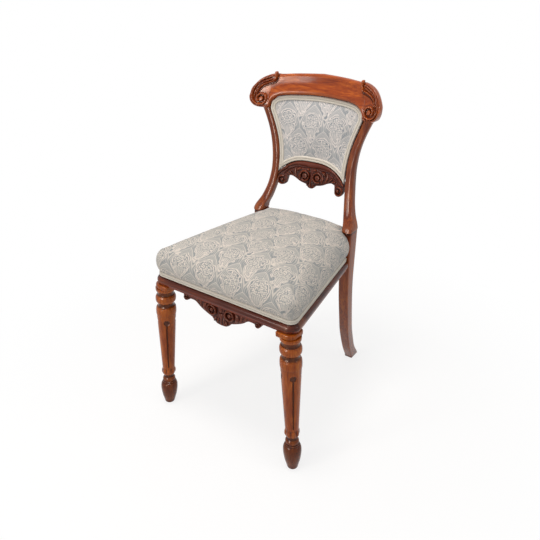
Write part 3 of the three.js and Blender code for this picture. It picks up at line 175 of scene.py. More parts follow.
def soft_lamp(name, place, size, watts, colour="#fff8f2", tall=0, only_gloss=False):
    lamp = bpy.data.objects.new(name, bpy.data.lights.new(name, "AREA"))
    lamp.data.size, lamp.data.energy, lamp.data.color = size, watts, linear(colour)[:3]
    if tall:
        lamp.data.shape, lamp.data.size_y = "RECTANGLE", tall
    bpy.context.scene.collection.objects.link(lamp)
    lamp.location = place
    lamp.visible_diffuse = not only_gloss
    lamp.rotation_euler = (look_at - lamp.location).to_track_quat("-Z", "Y").to_euler()
    print(name, "stands", round(lamp.location.length, 2), "m away")


soft_lamp("window_front", (-0.15, -0.45, 2.9), 0.8, 43)
soft_lamp("window_left", (-0.6, -1.7, 1.2), 0.4, 10, tall=0.9)
soft_lamp("bright_strip", (-0.08, -1.9, 0.95), 0.32, 40, colour="#ffeedd", tall=1.4, only_gloss=True)
soft_lamp("window_right", (1.9, 0.3, 1.5), 0.5, 5)

# %% [markdown]
# ## Smooth tables and lofts
# A maker's drawing is a table: at this height, this width. `read_table` runs one smooth curve through such rows, which
# is steadier than drawing the curve by hand. `loft` skins a stack of rings into a closed body, the way planks are bent
# round the ribs of a boat, so nearly every piece here is a table of rings.


# %% Reading tables and skinning rings
def read_table(table, at, column=1):
    """Reads a column of a table at places of its first column, along one smooth curve."""
    rows = np.array(table, float)
    keys, values = rows[:, 0], rows[:, column]
    at = np.clip(at, keys[0], keys[-1])
    row = np.clip(np.searchsorted(keys, at) - 1, 0, len(keys) - 2)
    before, after = np.maximum(row - 1, 0), np.minimum(row + 2, len(keys) - 1)
    span = keys[row + 1] - keys[row]
    t = (at - keys[row]) / span
    slope_in = (values[row + 1] - values[before]) / (keys[row + 1] - keys[before]) * span
    slope_out = (values[after] - values[row]) / (keys[after] - keys[row]) * span
    rise = values[row + 1] - values[row]
    square = 3 * rise - 2 * slope_in - slope_out
    cube = slope_in + slope_out - 2 * rise
    return values[row] + t * (slope_in + t * (square + t * cube))


def smoothstep(value, low, high):
    t = np.clip((value - low) / (high - low), 0, 1)
    return t * t * (3 - 2 * t)


def smooth_path(points, steps):
    """A smooth curve through a few points, cut into `steps` parts for each span."""
    points = np.array(points, float)
    key = np.arange(len(points))
    at = np.linspace(0, len(points) - 1, (len(points) - 1) * steps + 1)
    return np.stack([read_table(np.stack([key, points[:, c]], 1), at) for c in range(points.shape[1])], 1)


def loft(rings):
    """Skins rings of equally many points into a closed body with flat ends."""
    rings = np.asarray(rings, float)
    count = rings.shape[1]
    faces = []
    for low in range(0, (len(rings) - 1) * count, count):
        high = low + count
        faces += [(low + p, low + (p + 1) % count, high + (p + 1) % count, high + p) for p in range(count)]
    last = (len(rings) - 1) * count
    faces += [tuple(range(count))[::-1], tuple(range(last, last + count))]
    return rings.reshape(-1, 3), faces


def join(bodies):
    """Puts several closed bodies into one mesh."""
    points, faces = [], []
    for body_points, body_faces in bodies:
        start = sum(len(p) for p in points)
        points.append(body_points)
        faces += [tuple(start + index for index in face) for face in body_faces]
    return np.concatenate(points), faces


# %% Making a visible piece
def new_piece(name, body, material, stands_for, sharp):
    """Makes a piece from points in mm; edges that turn by more than `sharp` degrees stay crisp."""
    points, faces = body
    mesh = bpy.data.meshes.new(name)
    mesh.from_pydata((np.asarray(points) / 1000 + (0, origin_y, 0)).tolist(), [], faces)
    shell = bmesh.new()
    shell.from_mesh(mesh)
    bmesh.ops.recalc_face_normals(shell, faces=shell.faces)
    shell.to_mesh(mesh)
    shell.free()
    mesh.shade_smooth()
    mesh.set_sharp_from_angle(angle=radians(sharp))
    piece = bpy.data.objects.new(name, mesh)
    bpy.context.scene.collection.objects.link(piece)
    mesh.materials.append(material)
    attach(piece, "root")
    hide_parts(*stands_for)
    print(f"{name}: {len(mesh.vertices)} points")
    return piece


def points_of(mesh, what="co"):
    """The places, or the normals, of a mesh's points as rows of x, y, z."""
    rows = np.empty(len(mesh.vertices) * 3)
    mesh.vertices.foreach_get(what, rows)
    return rows.reshape(-1, 3)


def write_on(piece, name, values):
    """Keeps a number from -1 to 1 for each point, under a name that a material can read."""
    values = np.clip(values, -1, 1).astype(np.float32)
    piece.data.attributes.new(name, "FLOAT", "POINT").data.foreach_set("value", values)


def with_modifiers(piece, *modifiers):
    """Adds modifiers by kind and settings, then keeps their result as the piece's own mesh."""
    for kind, settings in modifiers:
        modifier = piece.modifiers.new(kind.lower(), kind)
        for name, value in settings.items():
            setattr(modifier, name, value)
    bpy.context.view_layer.update()
    shaped = bpy.data.meshes.new_from_object(piece.evaluated_get(bpy.context.evaluated_depsgraph_get()))
    piece.modifiers.clear()
    piece.data = shaped
    return piece


# %% [markdown]
# ## Painted shade in the hollows, painted highlights on the edges
# The wood is painted darker in its hollows as painted shade, and paler on its edges as painted highlights. A smoothed
# surface moves out of its hollows and in from its edges, so how far each point would move tells which it is. That is
# kept on the mesh, where it also outlives an export, which a node that measures the render's own edges would not.


# %% Hollows
def mark_hollows(piece, passes, reach):
    """Writes 1 where smoothing would fill a hollow by `reach` mm, and -1 where it would wear an edge down so far."""
    mesh, start = piece.data, points_of(piece.data)
    edges = np.empty(len(mesh.edges) * 2, int)
    mesh.edges.foreach_get("vertices", edges)
    one, other = edges.reshape(-1, 2).T
    ends, far = np.concatenate([one, other]), np.concatenate([other, one])
    degree = np.bincount(ends, minlength=len(start))[:, None]
    moved = start
    for _ in range(passes):
        moved = np.stack([np.bincount(ends, moved[far, c], len(start)) for c in range(3)], 1) / degree
    hollow = ((moved - start) * points_of(mesh, "normal")).sum(1) * 1000 / reach
    write_on(piece, "hollow", hollow)
    print(f"  {piece.name}: {int((hollow > 0.3).sum())} points lie in hollows")


# %% [markdown]
# ## Polished mahogany
# The show wood is a dense red mahogany under French polish: many thin coats of shellac, rubbed by hand. The eye sees
# streaks of grain, short dark pores along it, a slow change of tone across the board, and a gloss that is brightest on
# rounded edges. Streaks are about 3 mm wide and ten times as long. The real pores are 0.2 mm wide; here they are drawn
# 0.8 mm wide so that they show at this distance.
#
# Age adds the rest, and a plain wood texture would miss it: stain stays in the carving, which turns redder and darker.
# Light and shade are painted on too: painted shade in the hollows and on the feet, painted highlights on the edges.
# On the rails the bead at the foot of the moulding carries a painted highlight, below a fixed height, and the moulding
# above it stays dark.


# %% Wood finish
def french_polished(name, deep, middle, pale, along, gloss=0.2, hollow_shade=0.75, foot_shade=0.0, stain=0.0,
                    edge_highlight=0.22, shine=0.3, highlight_band_top=-1.0):
    """Grain runs along axis `along`. The other weights set the stain in the carving and painted light and shade:
    painted shade in the hollows and on the feet, painted highlights on the edges and on the rails' bead.
    """
    material, tree = new_material(name)
    place = add_node(tree, "TexCoord")
    patterns = []
    for across_grain, along_grain, detail, distortion in ((330, 26, 4.0, 0.4), (60, 7, 2.0, 0.9), (1200, 70, 1.0, 0.0)):
        scale = [across_grain] * 3  # repeats in a metre
        scale[along] = along_grain
        board = add_node(tree, "Mapping", {"Vector": place.outputs["Object"], "Scale": scale})
        patterns.append(add_node(tree, "TexNoise", {
            "Vector": board, "Scale": 1.0, "Detail": detail, "Distortion": distortion}))
    streaks, bands, pores = patterns
    tone = add_node(tree, "Mix", {0: 0.5, 2: streaks, 3: bands}, data_type="FLOAT")
    grain = add_node(tree, "ValToRGB", {"Fac": tone}, stops=[
        (0.33, linear(deep)), (0.5, linear(middle)), (0.68, linear(pale))])
    dark = add_node(tree, "MapRange", {0: pores, 1: 0.28, 2: 0.42, 3: 0.8, 4: 1.0})
    grained = add_node(tree, "Mix", {0: 1.0, 6: grain, 7: dark}, data_type="RGBA", blend_type="MULTIPLY")
    hollow = add_node(tree, "Attribute", attribute_name="hollow")
    # painted shade: the colour turns dark brown where the mesh marks a hollow
    low = add_node(tree, "MapRange", {0: hollow.outputs["Fac"], 1: 0.05, 2: 0.6, 3: 0.0, 4: hollow_shade})
    carved = add_node(tree, "Attribute", attribute_name="carved")
    carved = add_node(tree, "Math", {0: carved.outputs["Fac"], 1: stain}, operation="MULTIPLY")
    stained = add_node(tree, "Mix", {0: carved, 6: grained.outputs[2], 7: linear("#5c1d0d")}, data_type="RGBA")
    shade_in_hollows = add_node(tree, "Mix", {0: low, 6: stained.outputs[2], 7: linear("#210b05")}, data_type="RGBA")
    # painted highlight: the colour turns pale where the mesh marks a rounded edge
    edge_highlight_mask = add_node(tree, "MapRange", {0: hollow.outputs["Fac"], 1: -0.9, 2: -0.15, 3: edge_highlight, 4: 0.0})
    with_edge_highlight = add_node(tree, "Mix", {0: edge_highlight_mask, 6: shade_in_hollows.outputs[2], 7: linear("#b96f42")}, data_type="RGBA")
    height = add_node(tree, "SeparateXYZ", {0: place.outputs["Object"]})
    # painted shade: the feet turn darker towards the floor
    foot = add_node(tree, "MapRange", {0: height.outputs[2], 1: 0.07, 2: 0.12, 3: foot_shade, 4: 0.0})
    foot_shaded = add_node(tree, "Mix", {0: foot, 6: with_edge_highlight.outputs[2], 7: linear("#330f05")}, data_type="RGBA")
    # painted highlight: the rails' bead is paler below a fixed height
    bead = add_node(tree, "MapRange", {
        0: height.outputs[2], 1: highlight_band_top - 0.0006, 2: highlight_band_top + 0.0006, 3: 2.0, 4: 1.0})
    with_band_highlight = add_node(tree, "Mix", {0: 1.0, 6: foot_shaded.outputs[2], 7: bead}, data_type="RGBA", blend_type="MULTIPLY")
    rough = add_node(tree, "MapRange", {0: bands, 1: 0.3, 2: 0.7, 3: gloss - 0.03, 4: gloss + 0.06})
    bump = add_node(tree, "Bump", {"Height": pores, "Strength": 0.06, "Distance": 0.0003})
    shader = add_node(tree, "BsdfPrincipled", {
        "Base Color": with_band_highlight.outputs[2], "Roughness": rough, "Normal": bump, "IOR": 1.45,
        "Specular IOR Level": shine})
    add_node(tree, "OutputMaterial", {"Surface": shader})
    print(name, "has", len(tree.nodes), "nodes")
    return material


# %% The woods: deep, middle and pale grain of each, as they look on a screen
crest_polish = french_polished("crest_mahogany", "#702605", "#953f0b", "#b85d18", 0, 0.2, hollow_shade=0.4, stain=0.5,
                               shine=0.35)
stile_polish = french_polished("stile_mahogany", "#4c1604", "#702d08", "#914a12", 2, 0.17, shine=0.35)
# the rails' bead carries a painted highlight below this height
highlight_band_top = 0.4075  # metres; the rail's own foot is at 0.4
rail_polish = french_polished("front_rail_mahogany", "#340c02", "#4c1806", "#62270d", 0, 0.22, highlight_band_top=highlight_band_top)
side_polish = french_polished("side_rail_mahogany", "#340c02", "#4c1806", "#62270d", 1, 0.22, highlight_band_top=highlight_band_top)
leg_polish = french_polished("turned_mahogany", "#6f2b05", "#91450f", "#ae601d", 2, 0.2, hollow_shade=0.72, foot_shade=0.7,
                             shine=0.25)
carved_polish = french_polished("carved_mahogany", "#3a1208", "#541d0e", "#6b2b16", 0, 0.26, hollow_shade=0.55, edge_highlight=0.1,
                                shine=0.25)
plain_beech = french_polished("plain_beech", "#8f6a41", "#ab8656", "#c19c6c", 0, 0.62)

# %% [markdown]
# ## Front legs
# Each front leg is turned on a lathe from one square. From the floor: a bulb foot, small rings, a curled lappet ring, a
# long taper with a sunk keyhole on four sides, a collar, a ring and a neck under the square plate. A screw modifier
# could spin the profile, but the leg also leans out a little and has keyholes, so its rings are placed one by one. The
# profile is drawn as smooth runs; where two runs meet the tool left a crisp edge. The keyholes are points moved inward.

# %% The turned profile and its rings
leg_axis_x, leg_splay, leg_rake, plate_bottom = 194.5, 20, 4, 386.7  # the foot stands out and forward of the plate
turned_runs = [
    [(12.2, 0), (14, 2.2), (16.8, 13.6), (20.2, 27.3), (22.6, 42.9), (23.4, 55), (22.6, 65), (19.6, 72.4)],
    [(18.1, 73.2), (18.2, 77.2)],
    [(16.4, 78.2), (17.2, 82.2), (17.1, 86.6), (15, 90.6)],
    [(12.6, 92.4), (11.8, 96), (12.6, 100), (15, 103.4)],
    [(17.4, 104.4), (18.6, 109), (18.3, 116), (17.2, 121.5), (17, 126)],
    [(17.2, 127.4), (19.2, 170), (21.3, 216), (23.5, 262), (25, 296), (25.5, 305.4)],
    [(26.3, 306.6), (26.7, 312), (26.6, 320), (25.8, 325.8)],
    [(24.9, 326.6), (24.6, 328.2)],
    [(22.6, 329), (20.2, 332.6), (19.6, 337), (21, 341.6)],
    [(23.2, 342.6), (25.9, 346.6), (26.7, 352.6), (26.2, 359), (23.8, 364)],
    [(21.6, 365), (20.7, 369), (21, 373.6), (22.4, 376.6)],
    [(24.6, 377.6), (25.4, 381), (25.4, 386.6)],
]


def turned_profile():
    return np.concatenate([smooth_path(run, 34 if run[-1][1] - run[0][1] > 100 else 6) for run in turned_runs])


def keyhole_depth(around, z):
    """A round eye with a low button in it, and a slot that narrows down from it."""
    disc = np.hypot(around, z - 284)
    eye = 2.4 * (1 - smoothstep(disc, 6.6, 9.2)) - 0.9 * (1 - smoothstep(disc, 1.5, 4.5))
    slot_width = 2.6 - 0.6 * smoothstep(z, 270, 130)
    slot = 1.9 * (1 - smoothstep(np.abs(around), slot_width * 0.45, slot_width * 1.15))
    slot = slot * smoothstep(z, 128, 133) * (1 - smoothstep(z, 274, 279))
    return np.maximum(eye, slot)


def turned_leg(side):
    profile = turned_profile()
    quarter = np.linspace(-1, 1, 33)[:-1]
    quarter = (0.55 * quarter + 0.45 * quarter ** 3) * pi / 4
    angles = np.concatenate([quarter + pi / 4 + k * pi / 2 for k in range(4)])
    radius, height = [np.repeat(profile[:, c:c + 1], len(angles), 1) for c in (0, 1)]
    around = np.concatenate([quarter] * 4)[None, :] * radius
    on_shaft = (height > 127) & (height < 306)
    radius = radius - np.where(on_shaft, keyhole_depth(around, height), 0)
    lappet = 0.5 + 0.5 * np.cos(8 * angles)[None, :]
    curl = smoothstep(height, 103.5, 108) * (1 - smoothstep(height, 117, 127))
    radius = radius + curl * (1.9 * lappet ** 0.7 - 1.2)
    fall = 1 - np.clip(height / plate_bottom, 0, 1)
    rings = np.stack([side * (leg_axis_x + leg_splay * fall) + radius * np.cos(angles) * side,
                      radius * np.sin(angles) - leg_rake * fall, height], 2)
    return loft(rings)


# %% The square plate
def square_plate(side):
    half, corner, rear_corner = 24, 21, 8
    plan = [(-half + 3, -half)]
    plan += [(half - corner + corner * cos(a), -half + corner + corner * sin(a)) for a in np.linspace(-pi / 2, 0, 14)]
    plan += [(half - rear_corner + rear_corner * cos(a), half - rear_corner + rear_corner * sin(a))
             for a in np.linspace(0, pi / 2, 8)]
    plan += [(-half + 3, half), (-half, half - 3), (-half, -half + 3)]
    rings = []
    for inset, up in [(2.6, 0), (1.1, 0.5), (0.2, 2), (0, 3.6), (0, 9.6), (0.2, 11), (1.1, 12.5), (2.6, 13)]:
        size = 1 - inset / half
        rings.append([(side * (leg_axis_x - 3 + x * size), y * size, plate_bottom + up) for x, y in plan])
    return loft(rings)


def mark_rings(piece, side):
    """Marks how far each point lies inside the leg's average outline.
    This gives painted shade in the necks between rings and painted highlights on the rings.
    """
    x, y, z = (points_of(piece.data) - (0, origin_y, 0)).T * 1000
    fall = 1 - np.clip(z / plate_bottom, 0, 1)
    radius = np.hypot(x - side * (leg_axis_x + leg_splay * fall), y + leg_rake * fall)
    profile, level = turned_profile(), np.arange(0, plate_bottom, 0.5)
    spread = np.exp(-(np.arange(-30, 31) / 12) ** 2)
    outline = np.pad(np.interp(level, profile[:, 1], profile[:, 0]), 30, "edge")
    average = np.convolve(outline, spread / spread.sum(), "valid")
    hollow = np.where(z < plate_bottom - 0.2, (np.interp(z, level, average) - radius) / 1.7, 0.1)
    write_on(piece, "hollow", hollow)


# %% The two legs
for side, word in ((-1, "left"), (1, "right")):
    leg = new_piece(f"turned_leg_{word}", join([turned_leg(side), square_plate(side)]), leg_polish,
                    [f"front_leg_{word}"], 38)
    mark_rings(leg, side)

# %% [markdown]
# ## Seat rails
# The seat frame is a trapezium of rails with a thumb moulding run along its foot. A moulding could be a profile swept
# along a curve, but here it turns the front corners in one sweep of growing radius, so the plan of the seat is drawn
# once and every level of the moulding is that plan moved outward.

# %% The plan of the seat
half_front, half_back, face_setout, post_front = 206, 146.2, 8.5, 341
rail_bottom, rail_top, mould_high, mould_out = 400, 444, 20.5, 12
mould_top = rail_bottom + mould_high
taper = (half_front - half_back) / (post_front + face_setout)
side_angle = atan(taper)


def half_width(y):
    return half_front - (y + face_setout) * taper


def seat_edge(offset, back_y, corner_steps, side_steps, front_steps):
    radius = max(14 + offset, 6)
    centre_y = radius - offset - face_setout
    centre_x = half_width(centre_y) + (offset - radius) / cos(side_angle)
    right = [(centre_x + radius * cos(a), centre_y + radius * sin(a))
             for a in np.linspace(-pi / 2, side_angle, corner_steps + 1)]
    end = (half_width(back_y) + offset / cos(side_angle), back_y)
    start = np.array(right[-1])
    right += [tuple(start + (np.array(end) - start) * share) for share in np.linspace(0, 1, side_steps + 1)[1:]]
    front = [(x, right[0][1]) for x in np.linspace(-right[0][0], right[0][0], front_steps + 1)[1:-1]]
    return np.array([(-x, y) for x, y in right[::-1]] + front + right)


mould_shares = [(0.8, 0), (0.8, 0.2), (0.93, 0.25), (1, 0.42), (0.96, 0.62), (0.82, 0.8), (0.55, 0.93), (0.25, 0.99),
                (0, 1)]
thumb = smooth_path(mould_shares[2:], 5)
mould_profile = np.concatenate([[(0.72, 0), (0.79, 0.02), (0.8, 0.05), (0.8, 0.19), (0.84, 0.21)], thumb])
mould_profile = mould_profile * (mould_out, mould_high) + (0, rail_bottom)
print("the moulding has", len(mould_profile), "levels")

# %% The rails
front_back_y = 31.5  # the back of the front rail's ends, which take the legs


def front_rail():
    inner_x = half_width(front_back_y) - 48
    cove = inner_x - 13
    inner = [(inner_x, front_back_y)] + [
        (cove + 13 * (1 - sin(t)), 18.5 + 13 * (1 - cos(t))) for t in np.linspace(pi / 2, 0, 8)]
    inner += [(cove, 18.5)]
    loop = np.array(inner + [(-x, y) for x, y in inner[::-1]])
    rings = []
    for offset, z in list(mould_profile) + [(0, rail_top - 1), (-0.8, rail_top)]:
        plan = np.concatenate([seat_edge(offset, front_back_y, 16, 1, 8), loop])
        rings.append(np.column_stack([plan, np.full(len(plan), z)]))
    return loft(rings)


def side_rail(side):
    section = [(-24, rail_bottom)] + list(mould_profile) + [(0, rail_top - 1), (-0.8, rail_top), (-24, rail_top)]
    rings = [[(side * (half_width(y) + offset / cos(side_angle)), y, z) for offset, z in section]
             for y in np.linspace(front_back_y + 0.3, post_front - 0.3, 24)]
    return loft(rings)


rail = new_piece("front_rail", front_rail(), rail_polish, ["front_seat_rail"], 30)
mark_hollows(rail, 4, 2)
for side, word in ((-1, "left"), (1, "right")):
    rail = new_piece(f"side_rail_{word}", side_rail(side), side_polish, [f"side_seat_rail_{word}"], 30)
    mark_hollows(rail, 4, 2)

# %% [markdown]
# ## Rear legs and stiles
# A rear leg and its stile are sawn from one plank: a sabre leg sweeps back to the floor, a square post takes the seat
# rails, and above the seat the stile overhangs in a small toe and runs up in a long double curve, which gives the back
# its lyre shape. A bent tube would be round and even; this leg changes its section all the way up, so it is a stack of
# rounded sections, each read from the drawing's tables.

# %% Tables of the rear leg
post_outer, post_width, post_depth, toe_z, foot_sweep, foot_inset = 159, 30, 38, 505, 148, 32
stile_top_z, stile_top_x, stile_rake, stile_width, stile_depth = 787, 154, 52, 25.5, 27.5
leg_shares = [
    [0, 1, 1, 0.87, 1.1], [0.012, 0.985, 0.98, 0.87, 1.08], [0.1, 0.797, 0.857, 0.9, 0.9],
    [0.2, 0.628, 0.714, 0.96, 0.86], [0.3, 0.466, 0.536, 1, 0.82], [0.4, 0.331, 0.357, 1, 0.815],
    [0.5, 0.213, 0.214, 1, 0.83], [0.6, 0.116, 0.107, 1, 0.855], [0.7, 0.05, 0.036, 1, 0.88], [0.8, 0.01, 0, 1, 0.95],
    [0.88, 0, 0, 1, 1], [1, 0, 0, 1, 1],
]  # height, then sweep back, set in, width and depth, each as a share of its full size
stile_shares = [
    [0, 0.946, -0.134, 1.2, 1.67], [0.053, 0.928, 0.03, 1.13, 1.42], [0.124, 0.872, 0.31, 1.07, 1.14],
    [0.195, 0.832, 0.49, 1.03, 1.05], [0.266, 0.801, 0.63, 1, 1.02], [0.337, 0.781, 0.73, 0.98, 1],
    [0.408, 0.767, 0.8, 0.96, 0.98], [0.479, 0.763, 0.84, 0.94, 0.95], [0.55, 0.766, 0.865, 0.92, 0.9],
    [0.621, 0.779, 0.89, 0.9, 0.85], [0.691, 0.8, 0.915, 0.88, 0.79], [0.762, 0.832, 0.94, 0.86, 0.73],
    [0.833, 0.874, 0.962, 0.85, 0.68], [0.904, 0.925, 0.972, 0.86, 0.65], [0.957, 0.966, 0.97, 0.89, 0.64],
    [1, 1, 0.96, 0.93, 0.64],
]  # height above the toe, then the place of the centre line, lean back, width and depth


def stile_at(z):
    """Inner side, outer side, front and depth of a stile at a height."""
    up = (z - toe_z) / (stile_top_z - toe_z)
    centre, rake, width, depth = [read_table(stile_shares, up, column) for column in (1, 2, 3, 4)]
    half = width * stile_width / 2
    return (centre * stile_top_x - half, centre * stile_top_x + half, post_front + rake * stile_rake,
            depth * stile_depth)


def rounded_section(side, z, inner, outer, front_y, depth, front_round, back_round, wide_round):
    """A section whose four edges are quarter ellipses: front and back roundings in mm of depth."""
    quarter = np.linspace(0, pi / 2, 9)
    wide = wide_round * (outer - inner)
    back_wide = min(back_round * 0.9 + 1, wide)
    ring = [(inner + wide * (1 - cos(a)), front_y + front_round * (1 - sin(a))) for a in quarter]
    ring += [(outer - wide * (1 - cos(a)), front_y + front_round * (1 - sin(a))) for a in quarter[::-1]]
    ring += [(outer - back_wide * (1 - cos(a)), front_y + depth - back_round * (1 - sin(a))) for a in quarter]
    ring += [(inner + back_wide * (1 - cos(a)), front_y + depth - back_round * (1 - sin(a))) for a in quarter[::-1]]
    return [(side * x, y, z) for x, y in ring]


# %% The back's curved surface
low_bow, high_bow = 833, 424  # radius of the back's bow under the panel and at the crest
back_lean = radians(7.7)


def back_y(x, z):
    bow = (1 / low_bow + (1 / high_bow - 1 / low_bow) * smoothstep(z, 660, 820)) / 2
    return 386 + (z - 600) * tan(back_lean) - bow * np.asarray(x, float) ** 2


# %% The rear legs
def stile_lip(side):
    """The rebate behind the panel, on the inner side of a stile."""
    rings = []
    for z in np.linspace(637.5, stile_top_z - 9, 30):
        inner = stile_at(z)[0]
        ring = [(inner - 9, 10), (inner + 3, 10), (inner + 3, 18), (inner - 9, 18)]
        rings.append([(side * x, back_y(x, z) + depth, z) for x, depth in ring])
    return loft(rings)


def rear_leg(side):
    rings = []
    for up in np.concatenate([[0, 0.004, 0.008], np.linspace(0.012, 1, 60)]):
        sweep, inset, width, depth = [read_table(leg_shares, up, column) for column in (1, 2, 3, 4)]
        outer = post_outer - inset * foot_inset
        edge = 4.0 if up > 0.004 else 2.6
        rings.append(rounded_section(side, up * toe_z, outer - width * post_width, outer,
                                     post_front + sweep * foot_sweep, depth * post_depth, edge, edge, 0.15))
    for up in np.concatenate([[0, 0.008, 0.02], np.linspace(0.04, 1, 70)]):
        z = toe_z + up * (stile_top_z - toe_z)
        inner, outer, front_y, depth = stile_at(z)
        soft = smoothstep(up, 0, 0.25)
        shrink = 1.5 * (1 - smoothstep(up, 0, 0.02))
        rings.append(rounded_section(side, z, inner + shrink, outer - shrink, front_y + shrink, depth - 2 * shrink,
                                     (0.16 + 0.16 * soft) * depth, (0.1 + 0.2 * soft) * depth, 0.42))
    return loft(rings)


for side, word in ((-1, "left"), (1, "right")):
    post = new_piece(f"stile_and_leg_{word}", join([rear_leg(side), stile_lip(side)]), stile_polish,
                     [f"rear_leg_{word}"], 38)
    mark_hollows(post, 8, 1.5)

# %% [markdown]
# ## Carved rails
# The crest, the cross rail under the back panel and the apron are boards with carving left standing on them. A carver
# saws the outline, then lowers the ground round scrolls and leaves and rounds them over. Sculpting by hand can't be
# repeated, and leaves laid on a board as separate bodies look stuck on. So each board is lofted, melted into one fine
# skin, and its front is then moved: out along the routes of raised reeds and in along the routes of the gouge, alike on
# both sides of the chair. The moved points are marked, so that the finish can stain them.


# %% Free ribs, and melting bodies into one skin
def rib(route, face_at):
    """A closed body along rows of (x, z, half width, height) over a face, for an ear that stands free of its board."""
    route = np.asarray(route, float)
    along = np.gradient(route[:, :2], axis=0)
    along /= np.linalg.norm(along, axis=1, keepdims=True)
    angles = np.linspace(0, 2 * pi, 12, endpoint=False)
    rings = []
    for (x, z, half, height), (ax, az) in zip(route, along):
        across = half * np.cos(angles)
        rings.append(np.column_stack([x - az * across, face_at(x, z) - height * np.sin(angles), z + ax * across]))
    return loft(rings)


def melt(piece, voxel, smooth):
    """Turns the bodies of a piece into one skin of `voxel` mm."""
    return with_modifiers(piece, ("REMESH", {"mode": "VOXEL", "voxel_size": voxel / 1000}),
                          ("SMOOTH", {"factor": 0.5, "iterations": smooth}))


# %% Carving along routes
def curl(turns, half, height, x=0, z=0):
    """A route round (x, z) from a table of (degrees, radius)."""
    at = np.linspace(turns[0][0], turns[-1][0], 48)
    reach = read_table(turns, at)
    return np.column_stack([x + reach * np.cos(np.radians(at)), z + reach * np.sin(np.radians(at)),
                            np.full(48, half), np.full(48, height)])


def stand(x, z, route):
    """Height of a rounded reed at each point: rows of (x, z, half width, height); one row alone is a flat disc."""
    if len(route) == 1:
        (ax, az, half, height), = route
        away = np.minimum(np.hypot(x - ax, z - az) / half, 1)
        return height * np.sqrt(1 - away ** 6)
    tall = np.zeros(len(x))
    for (ax, az, a_half, a_height), (bx, bz, b_half, b_height) in zip(route[:-1], route[1:]):
        dx, dz = bx - ax, bz - az
        t = np.clip(((x - ax) * dx + (z - az) * dz) / (dx * dx + dz * dz + 1e-9), 0, 1)
        away = np.hypot(x - ax - t * dx, z - az - t * dz) / (a_half + t * (b_half - a_half))
        here = (a_height + t * (b_height - a_height)) * np.sqrt(np.clip(1 - away * away, 0, 1))
        tall = np.maximum(tall, here)
    return tall


def carve(piece, raised, sunk, x=0, z=0):
    """Moves the front of a board out along `raised` routes and in along `sunk` ones, alike on both sides."""
    mesh, places = piece.data, points_of(piece.data)
    front = smoothstep(-points_of(mesh, "normal")[:, 1], 0.1, 0.5)  # 1 where the skin faces the sitter's front
    chosen = np.flatnonzero(front > 0)
    out, up = np.abs(places[chosen, 0]) * 1000 - x, places[chosen, 2] * 1000 - z
    high, low = np.zeros(len(chosen)), np.zeros(len(chosen))
    for routes, keep in ((raised, high), (sunk, low)):
        for route in routes:
            route = np.asarray(route, float)
            if 1 < len(route) < 20:
                route = smooth_path(route, 6)
            reach = route[:, 2].max()
            box = (np.abs(out - np.clip(out, route[:, 0].min(), route[:, 0].max())) < reach)
            box = np.flatnonzero(box & (np.abs(up - np.clip(up, route[:, 1].min(), route[:, 1].max())) < reach))
            keep[box] = np.maximum(keep[box], stand(out[box], up[box], route))
    places[chosen, 1] -= (high - low) * front[chosen] / 1000
    mesh.vertices.foreach_set("co", places.ravel())
    mesh.update()
    carved = np.zeros(len(places))
    carved[chosen] = (high + 2 * low) / 2
    write_on(piece, "carved", carved)
    with_modifiers(piece, ("SMOOTH", {"factor": 0.4, "iterations": 1}))
    print(f"  {piece.name}: {int((carved > 0.5).sum())} points are carved")


# %% [markdown]
# ## The panel's outline
# Rails, pad, covers and braid all meet along the edge of the back panel, so that edge is drawn once: a low arch on top,
# the stiles at the sides, and a deeper arch below. `panel_point` then finds any place on the panel from its share
# across and its share up, as on a sheet of rubber pinned into the frame.

# %% The outline of the panel, which the rails are shaped to
panel_top_z, panel_top_half, corner_x, corner_z = 828, 139.5, 137, 803
panel_bottom_z, panel_bottom_half, panel_foot_z = 657, 102.6, 615
panel_top_shares = [[0, 0], [0.22, 0.03], [0.44, 0.09], [0.64, 0.16], [0.78, 0.27], [0.87, 0.42], [0.94, 0.67],
                    [1, 1]]
panel_foot_shares = [[0, 0], [0.2, 0.006], [0.39, 0.055], [0.585, 0.195], [0.78, 0.455], [0.925, 0.745], [1, 1]]


def panel_top(x):
    return panel_top_z - read_table(panel_top_shares, np.abs(x) / corner_x) * (panel_top_z - corner_z)


def panel_foot(x):
    drop = read_table(panel_foot_shares, np.abs(x) / panel_bottom_half)
    return panel_bottom_z - drop * (panel_bottom_z - panel_foot_z)


def panel_side(z):
    meeting = corner_z - (panel_top_half - corner_x) * 5
    free = min(stile_at(min(z, meeting))[0] - 0.7, panel_top_half)
    return free if z <= meeting else free + (corner_x - free) * (z - meeting) / (corner_z - meeting)


def panel_point(across, up):
    side_z = panel_foot_z + (corner_z - panel_foot_z) * up
    side_x = panel_bottom_half if up <= 0 else panel_side(side_z)
    signed = 2 * across - 1
    low_arch, high_arch = panel_foot(signed * panel_bottom_half) - panel_foot_z, panel_top(signed * corner_x) - corner_z
    return signed * side_x, side_z + low_arch * (1 - up) + high_arch * up


def arch_lip(edge_at, half_length, inward):
    """The rebate behind the panel along an arched edge."""
    rings = []
    for x in np.linspace(-half_length, half_length, 60):
        near, far = edge_at(x) + inward * 9, edge_at(x) - inward * 3
        rings.append([(x, back_y(x, z) + depth, z) for z, depth in ((near, 10), (far, 10), (far, 18), (near, 18))])
    return loft(rings)


# %% [markdown]
# ## Crest rail
# The crest is the chair's show piece: a broad rail with a hollowed front and a rolled top edge, bowed to the sitter's
# back. A leaf springs from a curled ear tip at each end: broad and narrow reeds run side by side down the end of the
# rail, part with a deep gouge, and turn in round the eye of a volute. The volute's eye is the origin of every route, so
# the whole end can be moved or turned without redrawing it.

